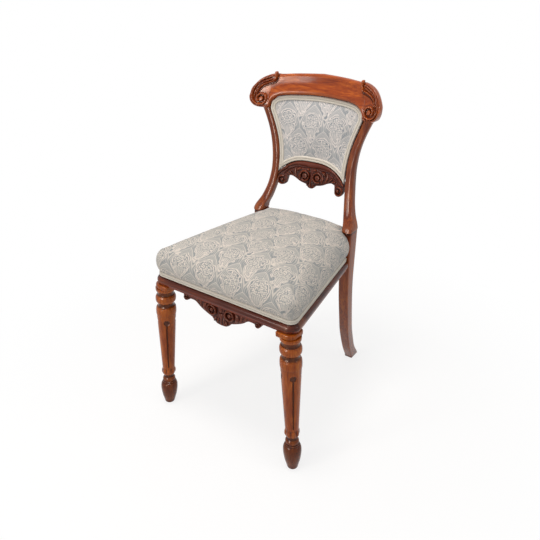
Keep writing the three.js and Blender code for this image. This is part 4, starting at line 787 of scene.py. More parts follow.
# %% The crest board
crest_top_z, crest_half, crest_thick, crest_flat_x = 882, 194, 28, 188
volute_x, volute_z, volute_radius = 161, 811, 18
scroll_end_z = volute_z + 0.75 * volute_radius
crest_top_shares = [[0, 0], [0.2, 0.035], [0.4, 0.075], [0.6, 0.13], [0.69, 0.12], [0.79, 0.21], [0.88, 0.39],
                    [0.96, 0.7], [0.985, 0.86], [1, 1]]
crest_section = smooth_path([
    (0.06, 0), (-0.16, 0.05), (-0.22, 0.15), (-0.14, 0.3), (0, 0.5), (0.06, 0.7), (0.06, 0.88), (0.16, 0.97),
    (0.4, 1), (0.75, 0.95), (1, 0.82)], 4)
crest_section = np.concatenate([crest_section, [(1, 0.55), (1, 0.28), (1, 0)]])


def crest_foot(x):
    inner, outer = stile_at(stile_top_z)[:2]
    if x <= corner_x:
        return panel_top(x) + 0.7
    if x <= inner:
        share = (x - corner_x) / (inner - corner_x)
        return (panel_top(corner_x) + 0.7) * (1 - share) + (stile_top_z + 0.3) * share
    if x <= outer:
        return stile_top_z + 0.3
    share = (x - outer) / (crest_half - outer)
    return stile_top_z + 0.3 + (scroll_end_z - stile_top_z - 0.3) * (1 - sqrt(max(1 - share * share, 0)))


def crest_top(x):
    return crest_top_z - read_table(crest_top_shares, x / crest_half) * (crest_top_z - scroll_end_z)


def crest_face(x, z):
    return back_y(min(abs(x), crest_flat_x), z)


def crest_ring(x):
    foot, top = crest_foot(abs(x)), crest_top(abs(x))
    along = max(abs(x) - 146, 0) / (crest_half - 146)
    thick = 6 + (crest_thick - 6) * sqrt(max(1 - along * along, 0))
    z = foot + (top - foot) * crest_section[:, 1]
    return np.column_stack([np.full(len(z), x), [crest_face(x, h) for h in z] + crest_section[:, 0] * thick, z])


# %% The leaf and volute of the crest's ends: rows of outward, up, half width and height in mm, from the volute's eye
leaf_raised = [
    [(-28, 62, 2, 2), (-12, 58.5, 3.6, 4), (1, 53, 3.8, 4.5), (11.5, 46, 3.8, 4.5), (19.5, 37, 3.8, 4.5),
     (25, 26.5, 3.8, 4.5), (28.3, 15, 3.8, 4.5), (29.3, 4, 3.8, 4.5), (26.5, -6.5, 3.8, 4.5), (20, -14, 3.6, 4.5),
     (10.5, -19, 3, 4), (0, -20.5, 2.2, 3)],
    [(-27, 58.5, 1.2, 3), (-16, 55, 1.7, 6), (-1, 49, 1.9, 7), (8, 43, 1.9, 7), (15, 35, 1.9, 7), (20, 27, 1.9, 7),
     (23.6, 17, 1.9, 7), (24.6, 7, 1.9, 7), (22, -2, 2, 7), (16, -9.5, 2.2, 7), (8, -13.8, 2.6, 7)],
    [(-26, 50.5, 2, 2), (-18.5, 49.5, 3.4, 3.6), (-6, 45, 3.8, 4.2), (3.5, 39.5, 3.8, 4.2), (10.5, 32.5, 3.6, 4),
     (15.2, 24, 3.2, 3.6), (18, 14, 2.6, 3), (19, 5, 1.6, 1.5)],
    [(-31, 48, 2.4, 5), (-26, 45.5, 2.2, 6), (-21, 44, 2, 6.5), (-11, 40.5, 1.9, 6.5), (-1, 36, 1.9, 6.5),
     (6, 30, 1.9, 6.5), (11, 21, 1.9, 6), (13.8, 12, 1.6, 4.5)],
    curl([(-390, 9.4), (-360, 11), (-270, 12.6), (-180, 13.6), (-90, 14.4), (-62, 15.4)], 2.7, 7),
    [(-0.5, 0, 6, 5.5)],
    [(-12.5, -19.6, 4.6, 5), (-12, -19.6, 4.6, 5)],
]
leaf_sunk = [
    [(-38.5, 66, 1.5, 1), (-39, 57, 2, 1.8), (-36.5, 48, 2.2, 2), (-30, 41, 2.2, 2), (-20, 37.3, 2.2, 2),
     (-9, 34, 2.2, 2), (1, 28.5, 2.2, 2), (8, 19.5, 2.2, 2), (11, 12, 2, 1.5)],
    [(16, 14, 1.5, 1.5), (18.2, 3, 2.4, 2.5), (16.6, -4, 2.2, 2.2), (12.6, -9, 1.6, 1.5)],
    curl([(-330, 8.3), (-270, 7.9), (-180, 8.4), (-90, 8.9), (-60, 9.2)], 1.9, 2.2),
] + [[(a - 2.6, b + 3, 0.9, 1), (a + 1, b - 4, 0.9, 1)] for a, b in smooth_path(
    [(-21, 50), (-6, 45), (3.5, 39.5), (10.5, 32.5), (15.2, 24)], 3)]


# %% The crest
def ear(side):
    """The free tip of the leaf, which curls up over the top of the rail."""
    route = smooth_path([(-27, 45, 2, 5), (-31, 49, 3, 6.5), (-33.6, 55, 3.8, 7.5), (-34.3, 62, 4, 8),
                         (-33.7, 66.6, 4.2, 7.5), (-33.3, 69, 3.3, 6.4), (-33.2, 70.2, 1.6, 4.5)], 5)
    return rib([(side * (volute_x + out), volute_z + up, half, height) for out, up, half, height in route], crest_face)


stations = np.concatenate([np.linspace(0, 187, 100), 194 - 7 * np.linspace(1, 0, 12)[1:] ** 2])
stations = np.concatenate([-stations[:0:-1], stations])
crest_parts = [loft([crest_ring(x) for x in stations]), arch_lip(lambda x: panel_top(x) + 0.7, 0.86 * corner_x, -1)]
crest = new_piece("crest_board", join(crest_parts + [ear(-1), ear(1)]), crest_polish, ["crest_rail"], 60)
melt(crest, 0.85, 2)
carve(crest, leaf_raised, leaf_sunk, volute_x, volute_z)
mark_hollows(crest, 24, 0.8)

# %% [markdown]
# ## Cross rail
# Under the panel runs a carved rail with a cut-out foot: a plain arched band above, two round scrolls with sunk rings
# in the middle, leaves that reach out from them, a small scroll at each stile, and a pendant bud. Piercing it would
# leave short grain that snaps, so a carver only lowers the ground. It is given a darker finish than the crest.

# %% The cross rail's board
cross_depth = 16
cross_x, cross_z, cross_r = 90, 595, 14
pendant_z = 584
cross_foot_shares = [[0, 0], [0.07, 0.03], [0.13, 0.14], [0.2, 0.36], [0.27, 0.43], [0.4, 0.51], [0.53, 0.65],
                     [0.66, 0.85], [0.8, 0.99], [0.88, 1], [1, 0.87]]


def cross_face(x, z):
    return back_y(x, z) + 4


def cross_foot(x):
    reach = cross_x - cross_r
    if x <= reach:
        return pendant_z + read_table(cross_foot_shares, x / reach) * 26
    share = min(abs(x - cross_x) / cross_r, 1)
    return cross_z - cross_r * sqrt(1 - share * share)


def cross_ring(x):
    foot = cross_foot(abs(x))
    top = max(panel_foot(min(abs(x), panel_bottom_half)) - 0.7, foot + cross_r)
    section = [(0.14, 0), (0.04, 0.03), (0, 0.08), (0, 0.3), (0, 0.6), (0.02, 0.79), (-0.12, 0.82), (-0.17, 0.87),
               (-0.17, 0.94), (-0.08, 0.99), (0.02, 1), (1, 1), (1, 0.3), (0.6, 0)]
    return [(x, cross_face(x, foot + (top - foot) * up) + depth * cross_depth, foot + (top - foot) * up)
            for depth, up in section]


# %% The cross rail's carving: rows of outward, up, half width and height in mm
cross_raised = [
    curl([(-20, 14.2), (90, 13.6), (180, 13.2), (300, 12.6)], 2.5, 5.5, 20, 617),
    [(20, 617, 7.8, 4)],
    [(7, 634, 1.6, 3), (9.5, 636.5, 3, 6), (14, 635.5, 2, 4)],
    [(35, 635, 2, 3), (40, 633, 3.6, 7), (44.5, 628, 2.2, 4)],
    [(33, 627, 2, 2), (37, 618, 4, 4), (35, 607, 3, 3)],
    [(50, 633, 2, 2), (51, 623, 4.2, 3.4), (47, 611, 3, 2.6)],
    [(69, 626, 1.2, 3), (63, 620, 2, 5.5), (56, 613.5, 1.6, 4)],
    [(78, 618, 1.2, 3), (72, 616.5, 2, 5.5), (65, 613.5, 1.6, 4)],
    curl([(-170, 9), (-90, 11.2), (0, 11.6), (60, 11.6), (110, 12)], 2.6, 5, cross_x, cross_z),
    [(88.6, 596, 4.4, 6.5), (89, 596, 4.4, 6.5)],
    [(0, 609, 1.5, 3), (0, 598, 3, 5.5), (0, 590.5, 4, 6)],
    [(9, 598, 1.6, 4), (11, 593, 2, 4)],
]
cross_sunk = [
    curl([(-20, 9.6), (90, 9.4), (180, 9.4), (300, 9.4)], 1.8, 2.4, 20, 617),
    [(5.5, 632, 1.2, 1), (4.4, 618, 1.8, 2.2), (5.8, 604, 1.8, 2.2), (5.5, 595, 1.2, 1.5)],
    [(14, 641, 1, 1), (28, 638, 1.4, 1.6), (50, 636, 1.6, 2), (72, 626, 1.8, 2.2), (86, 612, 1.6, 2)],
    curl([(-170, 5.4), (-90, 6.6), (0, 7.2), (90, 7.2)], 1.8, 2.4, cross_x, cross_z),
]

# %% The cross rail
reach = cross_x - cross_r
stations = np.concatenate([np.linspace(0, 0.99, 60) * reach, reach + 2 * cross_r * np.linspace(0.03, 0.98, 30)])
stations = np.concatenate([-stations[:0:-1], stations])
cross_parts = [loft([cross_ring(x) for x in stations]),
               arch_lip(lambda x: panel_foot(x) - 0.7, 0.86 * panel_bottom_half, 1)]
cross_rail = new_piece("cross_rail", join(cross_parts), carved_polish, ["carved_cross_rail"], 60)
melt(cross_rail, 0.7, 1)
carve(cross_rail, cross_raised, cross_sunk)
mark_hollows(cross_rail, 24, 0.9)

# %% [markdown]
# ## Apron
# The apron hangs under the front rail and is glued to two blocks behind it. It repeats the cross rail's motif, larger:
# two scrolls turned towards each other, a fan of flutes below them, broad lobes beside them and a small scroll near
# each leg. Flutes are gouged side by side, so they are drawn as low reeds with the ground between them left alone.

# %% The apron's board and carving: rows of outward, up, half width and height in mm
apron_half, apron_depth, apron_front, apron_foot_z, apron_top_z = 121, 14, -9, 340.5, 399.7
apron_high = apron_top_z - apron_foot_z
apron_foot_shares = [
    [0, 0.03], [0.1, 0.05], [0.157, 0.11], [0.21, 0.2], [0.24, 0.28], [0.273, 0.305], [0.33, 0.345], [0.45, 0.45],
    [0.54, 0.547], [0.62, 0.67], [0.66, 0.73], [0.7, 0.758], [0.785, 0.763], [0.83, 0.74], [0.87, 0.67],
    [0.91, 0.635], [0.95, 0.67], [0.985, 0.76], [1, 0.83]]
apron_raised = [
    curl([(-20, 14), (90, 13.2), (180, 12.8), (270, 12.6), (330, 11.4), (385, 8.6)], 2.7, 6, 27.5, 381),
    [(27.5, 381, 5.6, 4.5)],
    [(0, 397, 5, 2.5), (0, 386, 5, 3)],
    [(0, 373, 6, 2.5), (0, 368, 6, 2.5)],
    [(46, 391, 3, 2), (50, 385, 6, 4), (50, 378, 6, 4), (46, 371, 3.4, 2.5)],
    [(63, 395, 2, 1.5), (63, 386, 4, 2.6), (59, 376, 3, 2)],
    [(77, 395, 2, 1.2), (76, 390, 3.4, 2), (70, 383, 2, 1.5)],
    [(0, 363, 3, 1.5), (0, 355, 4, 2.6), (0, 347, 3, 2)],
    [(8, 364, 2, 1.5), (9.5, 356, 3.4, 2.6), (12, 349, 3, 2)],
    [(15, 363, 1.6, 2), (17, 358, 3, 4.5), (19.5, 354, 2.6, 5)],
    curl([(-160, 5.6), (-90, 6), (0, 6.4), (120, 6.8)], 2, 4.5, 110.5, 387),
    [(110, 387, 2.8, 5), (110.4, 387, 2.8, 5)],
]
apron_sunk = [
    curl([(-20, 9.8), (90, 9.3), (180, 9), (270, 8.6), (310, 7.8)], 1.8, 2.4, 27.5, 381),
    [(-9, 379.4, 1.5, 1.6), (9, 379.4, 1.5, 1.6)],
    [(11.5, 395, 1.5, 1.6), (11, 386, 1.8, 2), (11.4, 374, 1.8, 1.6), (15, 368, 1.5, 1.2)],
    [(42.5, 392, 1.5, 1.2), (43.6, 381, 1.8, 2), (41, 370, 1.5, 1.6)],
]


# %% The apron
def apron_ring(x):
    foot = apron_foot_z + read_table(apron_foot_shares, abs(x) / apron_half) * apron_high
    rise = apron_top_z - foot
    return [(x, apron_front + depth * apron_depth, foot + up * rise)
            for depth, up in [(0.2, 0), (0.05, 0.02), (0, 0.06), (0, 0.4), (0, 0.8), (0, 1), (1, 1), (1, 0)]]


stations = np.linspace(-1, 1, 181) * apron_half
apron = new_piece("apron", loft([apron_ring(x) for x in stations]), carved_polish, ["carved_apron"], 60)
melt(apron, 0.7, 1)
carve(apron, apron_raised, apron_sunk)
mark_hollows(apron, 24, 0.8)

# %% [markdown]
# ## Damask
# The cover is a furnishing damask of cotton and viscose: a dull blue-grey ground with the figure woven in a paler,
# slightly shinier weft. The eye reads pale palmettes in rows that are shifted by half, each a teardrop full of round
# beads inside two pale arcs, on a fan of stalks, with stems that part and meet again between them. A picture of such a
# cloth would be one fixed size; here each part is drawn from distances, in millimetres of cloth, and stays crisp.
#
# Every point of the cover carries its own place on the flat cloth, so the figure bends over the edges as real cloth
# does. The back is woven alike, in bluer and paler colours.

# %% Where a spot of the cloth lies in its palmette
figure_wide, figure_high = 75, 124  # the repeat, in mm


def place_in_palmette(tree, spot):
    """The palmettes stand in two interleaved grids, so each spot is measured in both and belongs to the nearer one.

    Distances are shares of a palmette's reach, so that 1 is its outline. `near` is the distance from the palmette's
    heart, `border` falls to 0 midway to the next palmette, and the last socket holds the place across and up.
    """
    measured = []
    for shift in ((0, 0, 0), (figure_wide / 2, figure_high / 2, 0)):
        here = add_node(tree, "VectorMath", {0: spot, 1: shift}, operation="ADD")
        here = add_node(tree, "VectorMath", {0: here, 1: (figure_wide / 2, 45.4, 1), 2: (-figure_wide / 2, -78.6, -1)},
                        operation="WRAP")
        up = add_node(tree, "SeparateXYZ", {0: here})
        wide = add_node(tree, "MapRange", {0: up.outputs[1], 1: -46.0, 2: -2.0, 3: 15.0, 4: 30.0},
                        interpolation_type="SMOOTHSTEP")
        high = add_node(tree, "MapRange", {0: up.outputs[1], 1: -0.5, 2: 0.5, 3: 52.0, 4: 30.0})
        reach = add_node(tree, "CombineXYZ", {0: wide, 1: high, 2: 1.0})
        share = add_node(tree, "VectorMath", {0: here, 1: reach}, operation="DIVIDE")
        length = add_node(tree, "VectorMath", {0: share}, operation="LENGTH")
        measured.append((share, length.outputs["Value"]))
    (one, one_length), (two, two_length) = measured
    is_two = add_node(tree, "Math", {0: two_length, 1: one_length}, operation="LESS_THAN")
    near = add_node(tree, "Math", {0: one_length, 1: two_length}, operation="MINIMUM")
    far = add_node(tree, "Math", {0: one_length, 1: two_length}, operation="MAXIMUM")
    border = add_node(tree, "Math", {0: far, 1: near}, operation="SUBTRACT")
    share = add_node(tree, "Mix", {0: is_two, 4: one, 5: two}, data_type="VECTOR")
    return near, border, add_node(tree, "SeparateXYZ", {0: share.outputs[1]})


# %% The woven figure
def woven_figure(tree, spot, near, border, share):
    """The figure as woven, the figure as worn, and how deep the ground's colour is round it."""
    # zones from the heart out: red holds the solid pale parts, green the beads, alpha the sunk lines
    near_key = add_node(tree, "Math", {0: near, 1: 1 / 1.2}, operation="MULTIPLY")
    zones = add_node(tree, "ValToRGB", {"Fac": near_key}, stops=[(place / 1.2, colour) for place, colour in (
        (0.0, (0.7, 0, 0, 0)), (0.12, (0.7, 0, 0, 0)), (0.17, (0, 0.3, 0, 0.5)), (0.22, (0, 1, 0, 0.2)),
        (0.68, (0, 1, 0, 0.2)), (0.71, (0, 0.1, 0, 0.9)), (0.75, (0, 0, 0, 0.9)), (0.78, (1, 0, 0, 0)),
        (0.85, (0.9, 0, 0, 0)), (0.88, (0, 0, 0, 0.8)), (0.92, (0, 0, 0, 0.8)), (0.95, (1, 0, 0, 0)),
        (1.01, (0.9, 0, 0, 0)), (1.05, (0, 0, 0, 0.3)))])
    shaded = zones.outputs["Alpha"]
    zones = add_node(tree, "SeparateColor", {0: zones})
    beads = add_node(tree, "TexVoronoi", {"Vector": spot, "Scale": 0.23, "Randomness": 0.6}, voronoi_dimensions="2D")
    beads = add_node(tree, "MapRange", {0: beads.outputs["Distance"], 1: 0.28, 2: 0.5, 3: 1.0, 4: 0.0})
    beads = add_node(tree, "Math", {0: beads, 1: zones.outputs[1]}, operation="MULTIPLY")
    above = add_node(tree, "MapRange", {0: share.outputs[1], 1: -0.385, 2: -0.23, 3: 0.0, 4: 1.0})
    beads = add_node(tree, "Math", {0: beads, 1: above}, operation="MULTIPLY")
    # below the beads a fan of stalks runs down to the palmette's point
    outside = add_node(tree, "MapRange", {0: near, 1: 0.98, 2: 1.03})
    fan = add_node(tree, "Math", {0: share.outputs[0], 1: 30.0}, operation="MULTIPLY")
    fan = add_node(tree, "Math", {0: fan}, operation="COSINE")
    fan = add_node(tree, "MapRange", {0: fan, 1: -1.0, 2: 1.0, 3: 0.1, 4: 0.85})
    stalks = add_node(tree, "Math", {0: 1.0, 1: above}, operation="SUBTRACT")
    stalks = add_node(tree, "Math", {0: stalks, 1: outside}, operation="SUBTRACT", use_clamp=True)
    stalks = add_node(tree, "Math", {0: stalks, 1: fan}, operation="MULTIPLY")
    # between the palmettes run broad stems, with finer veins beside them
    stems = add_node(tree, "MapRange", {0: border, 1: 0.04, 2: 0.12, 3: 0.75, 4: 0.0})
    veins = add_node(tree, "Math", {0: border, 1: 24.0}, operation="MULTIPLY")
    veins = add_node(tree, "Math", {0: veins}, operation="COSINE")
    veins = add_node(tree, "MapRange", {0: veins, 1: -0.3, 2: 0.8, 3: 0.0, 4: 0.6})
    upper = add_node(tree, "MapRange", {0: share.outputs[1], 1: -0.75, 2: 0.0, 3: 0.0, 4: 1.0})
    veins = add_node(tree, "Math", {0: veins, 1: upper}, operation="MULTIPLY")
    between = add_node(tree, "Math", {0: stems, 1: veins}, operation="MAXIMUM")
    between = add_node(tree, "Math", {0: between, 1: outside}, operation="MULTIPLY")
    figure = add_node(tree, "Math", {0: beads, 1: stalks}, operation="MAXIMUM")
    figure = add_node(tree, "Math", {0: figure, 1: between}, operation="MAXIMUM")
    figure = add_node(tree, "Math", {0: figure, 1: zones.outputs[0]}, operation="MAXIMUM")
    # wear breaks the figure up a little, and the ground is deeper outside the palmettes, most of all by their points
    fleck = add_node(tree, "TexNoise", {"Vector": spot, "Scale": 0.5, "Detail": 2.0})
    fleck = add_node(tree, "MapRange", {0: fleck, 1: 0.3, 2: 0.7, 3: 0.7, 4: 1.1})
    woven = add_node(tree, "Math", {0: figure, 1: fleck}, operation="MULTIPLY")
    tail = add_node(tree, "MapRange", {0: share.outputs[1], 1: -0.5, 2: 0.3, 3: 0.8, 4: 0.3})
    aside = add_node(tree, "MapRange", {0: border, 1: 0.1, 2: 0.25})
    tail = add_node(tree, "Math", {0: tail, 1: aside}, operation="MULTIPLY")
    tail = add_node(tree, "Math", {0: tail, 1: outside}, operation="MULTIPLY")
    return figure, woven, add_node(tree, "Math", {0: tail, 1: shaded}, operation="MAXIMUM")


# %% Damask material
def woven_damask(name, ground_code, sunk_code, pale_code):
    """`ground_code` is the ground's colour, `sunk_code` that of its darkest lines, `pale_code` that of the figure."""
    material, tree = new_material(name)
    cloth = add_node(tree, "Attribute", attribute_name="cloth")
    wobble = add_node(tree, "TexNoise", {"Vector": cloth.outputs["Vector"], "Scale": 0.05, "Detail": 1.0})
    wobble = add_node(tree, "VectorMath", {0: wobble.outputs["Color"], 1: (0.5, 0.5, 0.5)}, operation="SUBTRACT")
    wobble = add_node(tree, "VectorMath", {0: wobble, "Scale": 4.0}, operation="SCALE")
    spot = add_node(tree, "VectorMath", {0: cloth.outputs["Vector"], 1: wobble}, operation="ADD")
    figure, woven, tail = woven_figure(tree, spot, *place_in_palmette(tree, spot))
    ground = add_node(tree, "Mix", {0: tail, 6: linear(ground_code), 7: linear(sunk_code)}, data_type="RGBA")
    colour = add_node(tree, "Mix", {0: woven, 6: ground.outputs[2], 7: linear(pale_code)}, data_type="RGBA")
    # threads 1.5 mm apart and the raised figure give the bump
    threads = add_node(tree, "VectorMath", {0: cloth.outputs["Vector"], 1: (4.2, 4.2, 0)}, operation="MULTIPLY")
    threads = add_node(tree, "VectorMath", {0: threads}, operation="SINE")
    threads = add_node(tree, "SeparateXYZ", {0: threads})
    threads = add_node(tree, "Math", {0: threads.outputs[0], 1: threads.outputs[1]}, operation="MULTIPLY")
    height = add_node(tree, "Math", {0: threads, 1: 0.2, 2: figure}, operation="MULTIPLY_ADD")
    bump = add_node(tree, "Bump", {"Height": height, "Strength": 0.4, "Distance": 0.0006})
    shader = add_node(tree, "BsdfPrincipled", {
        "Base Color": colour.outputs[2], "Roughness": 0.86, "Normal": bump,
        "Sheen Weight": 0.08, "Sheen Roughness": 0.4, "Specular IOR Level": 0.25})
    add_node(tree, "OutputMaterial", {"Surface": shader})
    print(name, "has", len(tree.nodes), "nodes")
    return material


damask = woven_damask("damask", "#999b98", "#7c8387", "#d1c8be")
back_damask = woven_damask("back_damask", "#a6a9ab", "#858d93", "#dfd8d3")


def lay_on_cloth(piece, places):
    """Writes each point's place on the flat cloth, in millimetres."""
    flat = np.column_stack([places, np.zeros(len(places))]).astype(np.float32)
    piece.data.attributes.new("cloth", "FLOAT_VECTOR", "POINT").data.foreach_set("vector", flat.ravel())


# %% [markdown]
# ## Stuffed seat
# The seat is built up over webbing and hessian, then pulled tight with the cover, which is tacked to the rails above
# the moulding. Its outside is a stack of levels that bulge and round over to a shoulder, then a low crown, which climbs
# towards an arched rear edge. Levels and crown are sampled on rings of the seat's plan; the crown's height comes from a
# smooth dome so that no ring shows.
#
# A drawn cushion looks like a pillow of plaster, so the drawn form is only where the cover starts. A short cloth
# simulation presses it from inside, as hair stuffing does, while the tacked foot is held: corners round over and the
# sides fill. Each point may move by a few millimetres at most, so the cushion keeps the room that it has in the chair.

# %% Pulling a cover tight over its stuffing
def stuff(piece, held, most):
    """Lets the stuffing press the cover out; `held` marks tacked points, and no point moves by more than `most` mm."""
    last_frame = 20
    before = points_of(piece.data)
    tacked = piece.vertex_groups.new(name="tacked")
    tacked.add([int(index) for index in np.flatnonzero(held)], 1.0, "REPLACE")
    cover = piece.modifiers.new("cover", "CLOTH")
    cover.settings.quality = 5
    cover.settings.mass = 0.3
    cover.settings.vertex_group_mass = "tacked"
    cover.settings.tension_stiffness = cover.settings.compression_stiffness = 15
    cover.settings.bending_stiffness = 0.5
    cover.settings.use_pressure = True
    cover.settings.uniform_pressure_force = 4.0
    cover.settings.effector_weights.gravity = 0
    cover.collision_settings.use_collision = False
    cover.point_cache.frame_start, cover.point_cache.frame_end = 1, last_frame
    for frame_number in range(1, last_frame + 1):
        bpy.context.scene.frame_set(frame_number)
    pressed = piece.evaluated_get(bpy.context.evaluated_depsgraph_get()).to_mesh()
    move = points_of(pressed) - before
    size = np.linalg.norm(move, axis=1, keepdims=True)
    move *= most / 1000 * np.tanh(size * 1000 / most) / np.maximum(size, 1e-9)
    piece.modifiers.clear()
    piece.vertex_groups.clear()
    bpy.context.scene.frame_set(1)
    piece.data.vertices.foreach_set("co", (before + move).ravel())
    piece.data.update()
    print(f"  {piece.name}: the cover rose by up to {size.max() * 1000:.1f} mm before the limit of {most} mm")


# %% The seat's form
seat_back_y, seat_crown_z, seat_shoulder_z, seat_bulge, seat_back_rise, seat_rear_arch = 386, 521, 494, 11, 8, 11
seat_side_shares = [(0.2, 0), (0.2, 0.16), (0.72, 0.3), (1, 0.5), (0.9, 0.7), (0.4, 0.86), (-0.5, 0.98), (-1.5, 1.05)]


def rear_rise(x, y):
    """The edge climbs towards the back, and the rear edge itself is arched."""
    arch = 1 - np.clip(np.abs(x) / half_width(seat_back_y), 0, 1) ** 2
    return seat_back_rise * smoothstep(y, 0, seat_back_y) + seat_rear_arch * arch * smoothstep(y, 180, seat_back_y)


def seat_ring(offset, z):
    """The seat's plan, `offset` mm outside the rails, at height z at the front and higher at the back."""
    edge = seat_edge(offset, seat_back_y + min(offset, 0), 8, 34, 40)
    rear = np.column_stack([np.linspace(edge[-1][0], edge[0][0], 32)[1:-1], np.full(30, edge[0][1])])
    plan = np.concatenate([edge, rear])
    rise = np.clip((z - mould_top) / (seat_shoulder_z - mould_top), 0, 1)
    return np.column_stack([plan, z + rise * rear_rise(plan[:, 0], plan[:, 1])])


def seat_cushion():
    side = smooth_path(seat_side_shares, 4) * (seat_bulge, seat_shoulder_z - mould_top) + (0, mould_top)
    side[:, 1] = np.maximum(side[:, 1], mould_top + 0.4)
    hidden = [seat_ring(-1.5, rail_top + 20), seat_ring(-1.2, mould_top + 0.4)]
    rings = hidden + [seat_ring(*level) for level in side]
    shoulder = rings[-1]
    middle_y = (seat_back_y - face_setout) / 2
    reach_y = np.abs(shoulder[:, 1] - middle_y).max()
    for share in np.linspace(1, 0.03, 40)[1:]:
        x, y = shoulder[:, 0] * share, middle_y + (shoulder[:, 1] - middle_y) * share
        oval = (np.abs(x / (half_width(y) - 18)) ** 4 + np.abs((y - middle_y) / reach_y) ** 4) ** 0.25
        blend = smoothstep(share, 0.75, 1)
        near = oval * (1 - blend) + share * blend
        edge_z = seat_shoulder_z + 0.05 * (seat_shoulder_z - mould_top) + rear_rise(x, y)
        rings.append(np.column_stack([x, y, seat_crown_z - (seat_crown_z - edge_z) * np.minimum(near, 1) ** 4.2]))
    return np.array(rings)


# %% The seat cushion, and its cloth laid flat from the shoulder outward
rings = seat_cushion()
seat = new_piece("seat_cushion", loft(rings), damask, ["seat_cover", "seat_stuffing"], 60)
shoulder = 2 + 4 * (len(seat_side_shares) - 1)
flat = np.zeros(rings.shape[:2] + (2,))
flat[shoulder:] = rings[shoulder:, :, :2]
along = np.roll(rings[shoulder, :, :2], -1, 0) - np.roll(rings[shoulder, :, :2], 1, 0)
outward = np.column_stack([along[:, 1], -along[:, 0]]) / np.linalg.norm(along, axis=1, keepdims=True)
for level in range(shoulder - 1, -1, -1):
    step = rings[level] - rings[level + 1]
    flat[level] = flat[level + 1] + outward * np.linalg.norm(step, axis=1)[:, None]
figure_middle = (-5, 42)  # where one palmette stands on the seat
lay_on_cloth(seat, (flat - figure_middle).reshape(-1, 2))
height = rings[:, :, 2].ravel()
stuff(seat, (height < 435) | (np.arange(len(height)) < rings.shape[1]), 8)
with_modifiers(seat, ("SUBSURF", {"levels": 1, "render_levels": 1}))

# %% [markdown]
# ## Stuffed back
# The back panel is a thin pad between the stiles, crowned in the middle and flat under its braid. An inflated sheet
# would be highest in the middle and slack at the corners; a pad stitched over felt is nearly even and drops quickly at
# its edges, so its front is a flattened dome drawn on the panel's own grid. The outside back is a stretched sheet.


# %% The back pad
def dome(share):
    return np.clip((share - 0.08) / 0.84, 0, 1)


def cover_front(across, up):
    """How far the front of the pad lies behind the back's curved surface; less than 0 is in front of it."""
    swell = (np.sin(pi * dome(across)) * np.sin(pi * dome(up) ** 1.3)) ** 0.65
    return 3.4 - 12.4 * 0.92 * swell


def panel_slab(inset, front_depth, rear_depth, columns, rows):
    """A sheet with the panel's outline between two depths behind the back's surface."""
    across, up = np.meshgrid(np.linspace(inset, 1 - inset, columns + 1), np.linspace(inset, 1 - inset, rows + 1))
    spots = np.array([panel_point(a, u) for a, u in zip(across.ravel(), up.ravel())])
    base = back_y(spots[:, 0], spots[:, 1])
    layers = [np.column_stack([spots[:, 0], base + depth, spots[:, 1]])
              for depth in (front_depth(across.ravel(), up.ravel()), rear_depth(across.ravel(), up.ravel()))]
    width, rear = columns + 1, (columns + 1) * (rows + 1)
    faces = []
    for row in range(rows):
        for column in range(columns):
            a = row * width + column
            cell = (a, a + 1, a + width + 1, a + width)
            faces += [cell, tuple(rear + corner for corner in (cell[0], cell[3], cell[2], cell[1]))]
    rim = list(range(width)) + [r * width + columns for r in range(1, rows + 1)]
    rim += [rows * width + c for c in range(columns - 1, -1, -1)] + [r * width for r in range(rows - 1, 0, -1)]
    faces += [(one, rear + one, rear + other, other) for one, other in zip(rim, rim[1:] + rim[:1])]
    return (np.concatenate(layers), faces), np.concatenate([spots, spots])


def even(depth):
    """A face of a slab that lies at one depth all over."""
    return lambda across, up: np.full(len(across), depth)


# %% The pad and the outside back
body, spots = panel_slab(0.006, cover_front, even(7.5), 70, 52)
pad = new_piece("back_pad", body, back_damask, ["back_cover", "back_stuffing"], 60)
lay_on_cloth(pad, spots - (-10, 760))
body, spots = panel_slab(0.01, even(18.4), even(20.0), 40, 30)
outside = new_piece("outside_back", body, damask, ["outside_back_cover"], 60)
lay_on_cloth(outside, spots)

# %% [markdown]
# ## Hessian and webbing
# Under the stuffing lie jute hessian and six jute webs, woven like a basket and tacked to the rails. They show only
# from below, but a seat without them would show the underside of its stuffing. Jute is coarse: the eye sees separate
# threads 2 to 3 mm apart, drawn as two crossed waves. Each web is a strap that climbs over one neighbour and dips under
# the next.


# %% Jute materials
def jute(name, pale, deep, pitch):
    material, tree = new_material(name)
    place = add_node(tree, "TexCoord")
    turns = add_node(tree, "VectorMath", {0: place.outputs["Object"], 1: (2000 * pi / pitch,) * 3},
                     operation="MULTIPLY")
    waves = add_node(tree, "VectorMath", {0: turns}, operation="SINE")
    parted = add_node(tree, "SeparateXYZ", {0: waves})
    check = add_node(tree, "Math", {0: parted.outputs[0], 1: parted.outputs[1]}, operation="MULTIPLY")
    fuzz = add_node(tree, "TexNoise", {"Vector": place.outputs["Object"], "Scale": 300.0, "Detail": 3.0})
    tone = add_node(tree, "Math", {0: check, 1: fuzz}, operation="MULTIPLY_ADD")
    tone.inputs[2].default_value = 0.5
    colour = add_node(tree, "ValToRGB", {"Fac": tone}, stops=[(0.1, linear(deep)), (0.9, linear(pale))])
    bump = add_node(tree, "Bump", {"Height": check, "Strength": 0.5, "Distance": 0.0005})
    shader = add_node(tree, "BsdfPrincipled", {"Base Color": colour, "Roughness": 0.95, "Normal": bump,
                                               "Specular IOR Level": 0.2})
    add_node(tree, "OutputMaterial", {"Surface": shader})
    return material


hessian_cloth = jute("jute_hessian", "#b39a6c", "#7d6540", 2.4)
web_cloth = jute("jute_webbing", "#cdbd97", "#9a8558", 3.0)

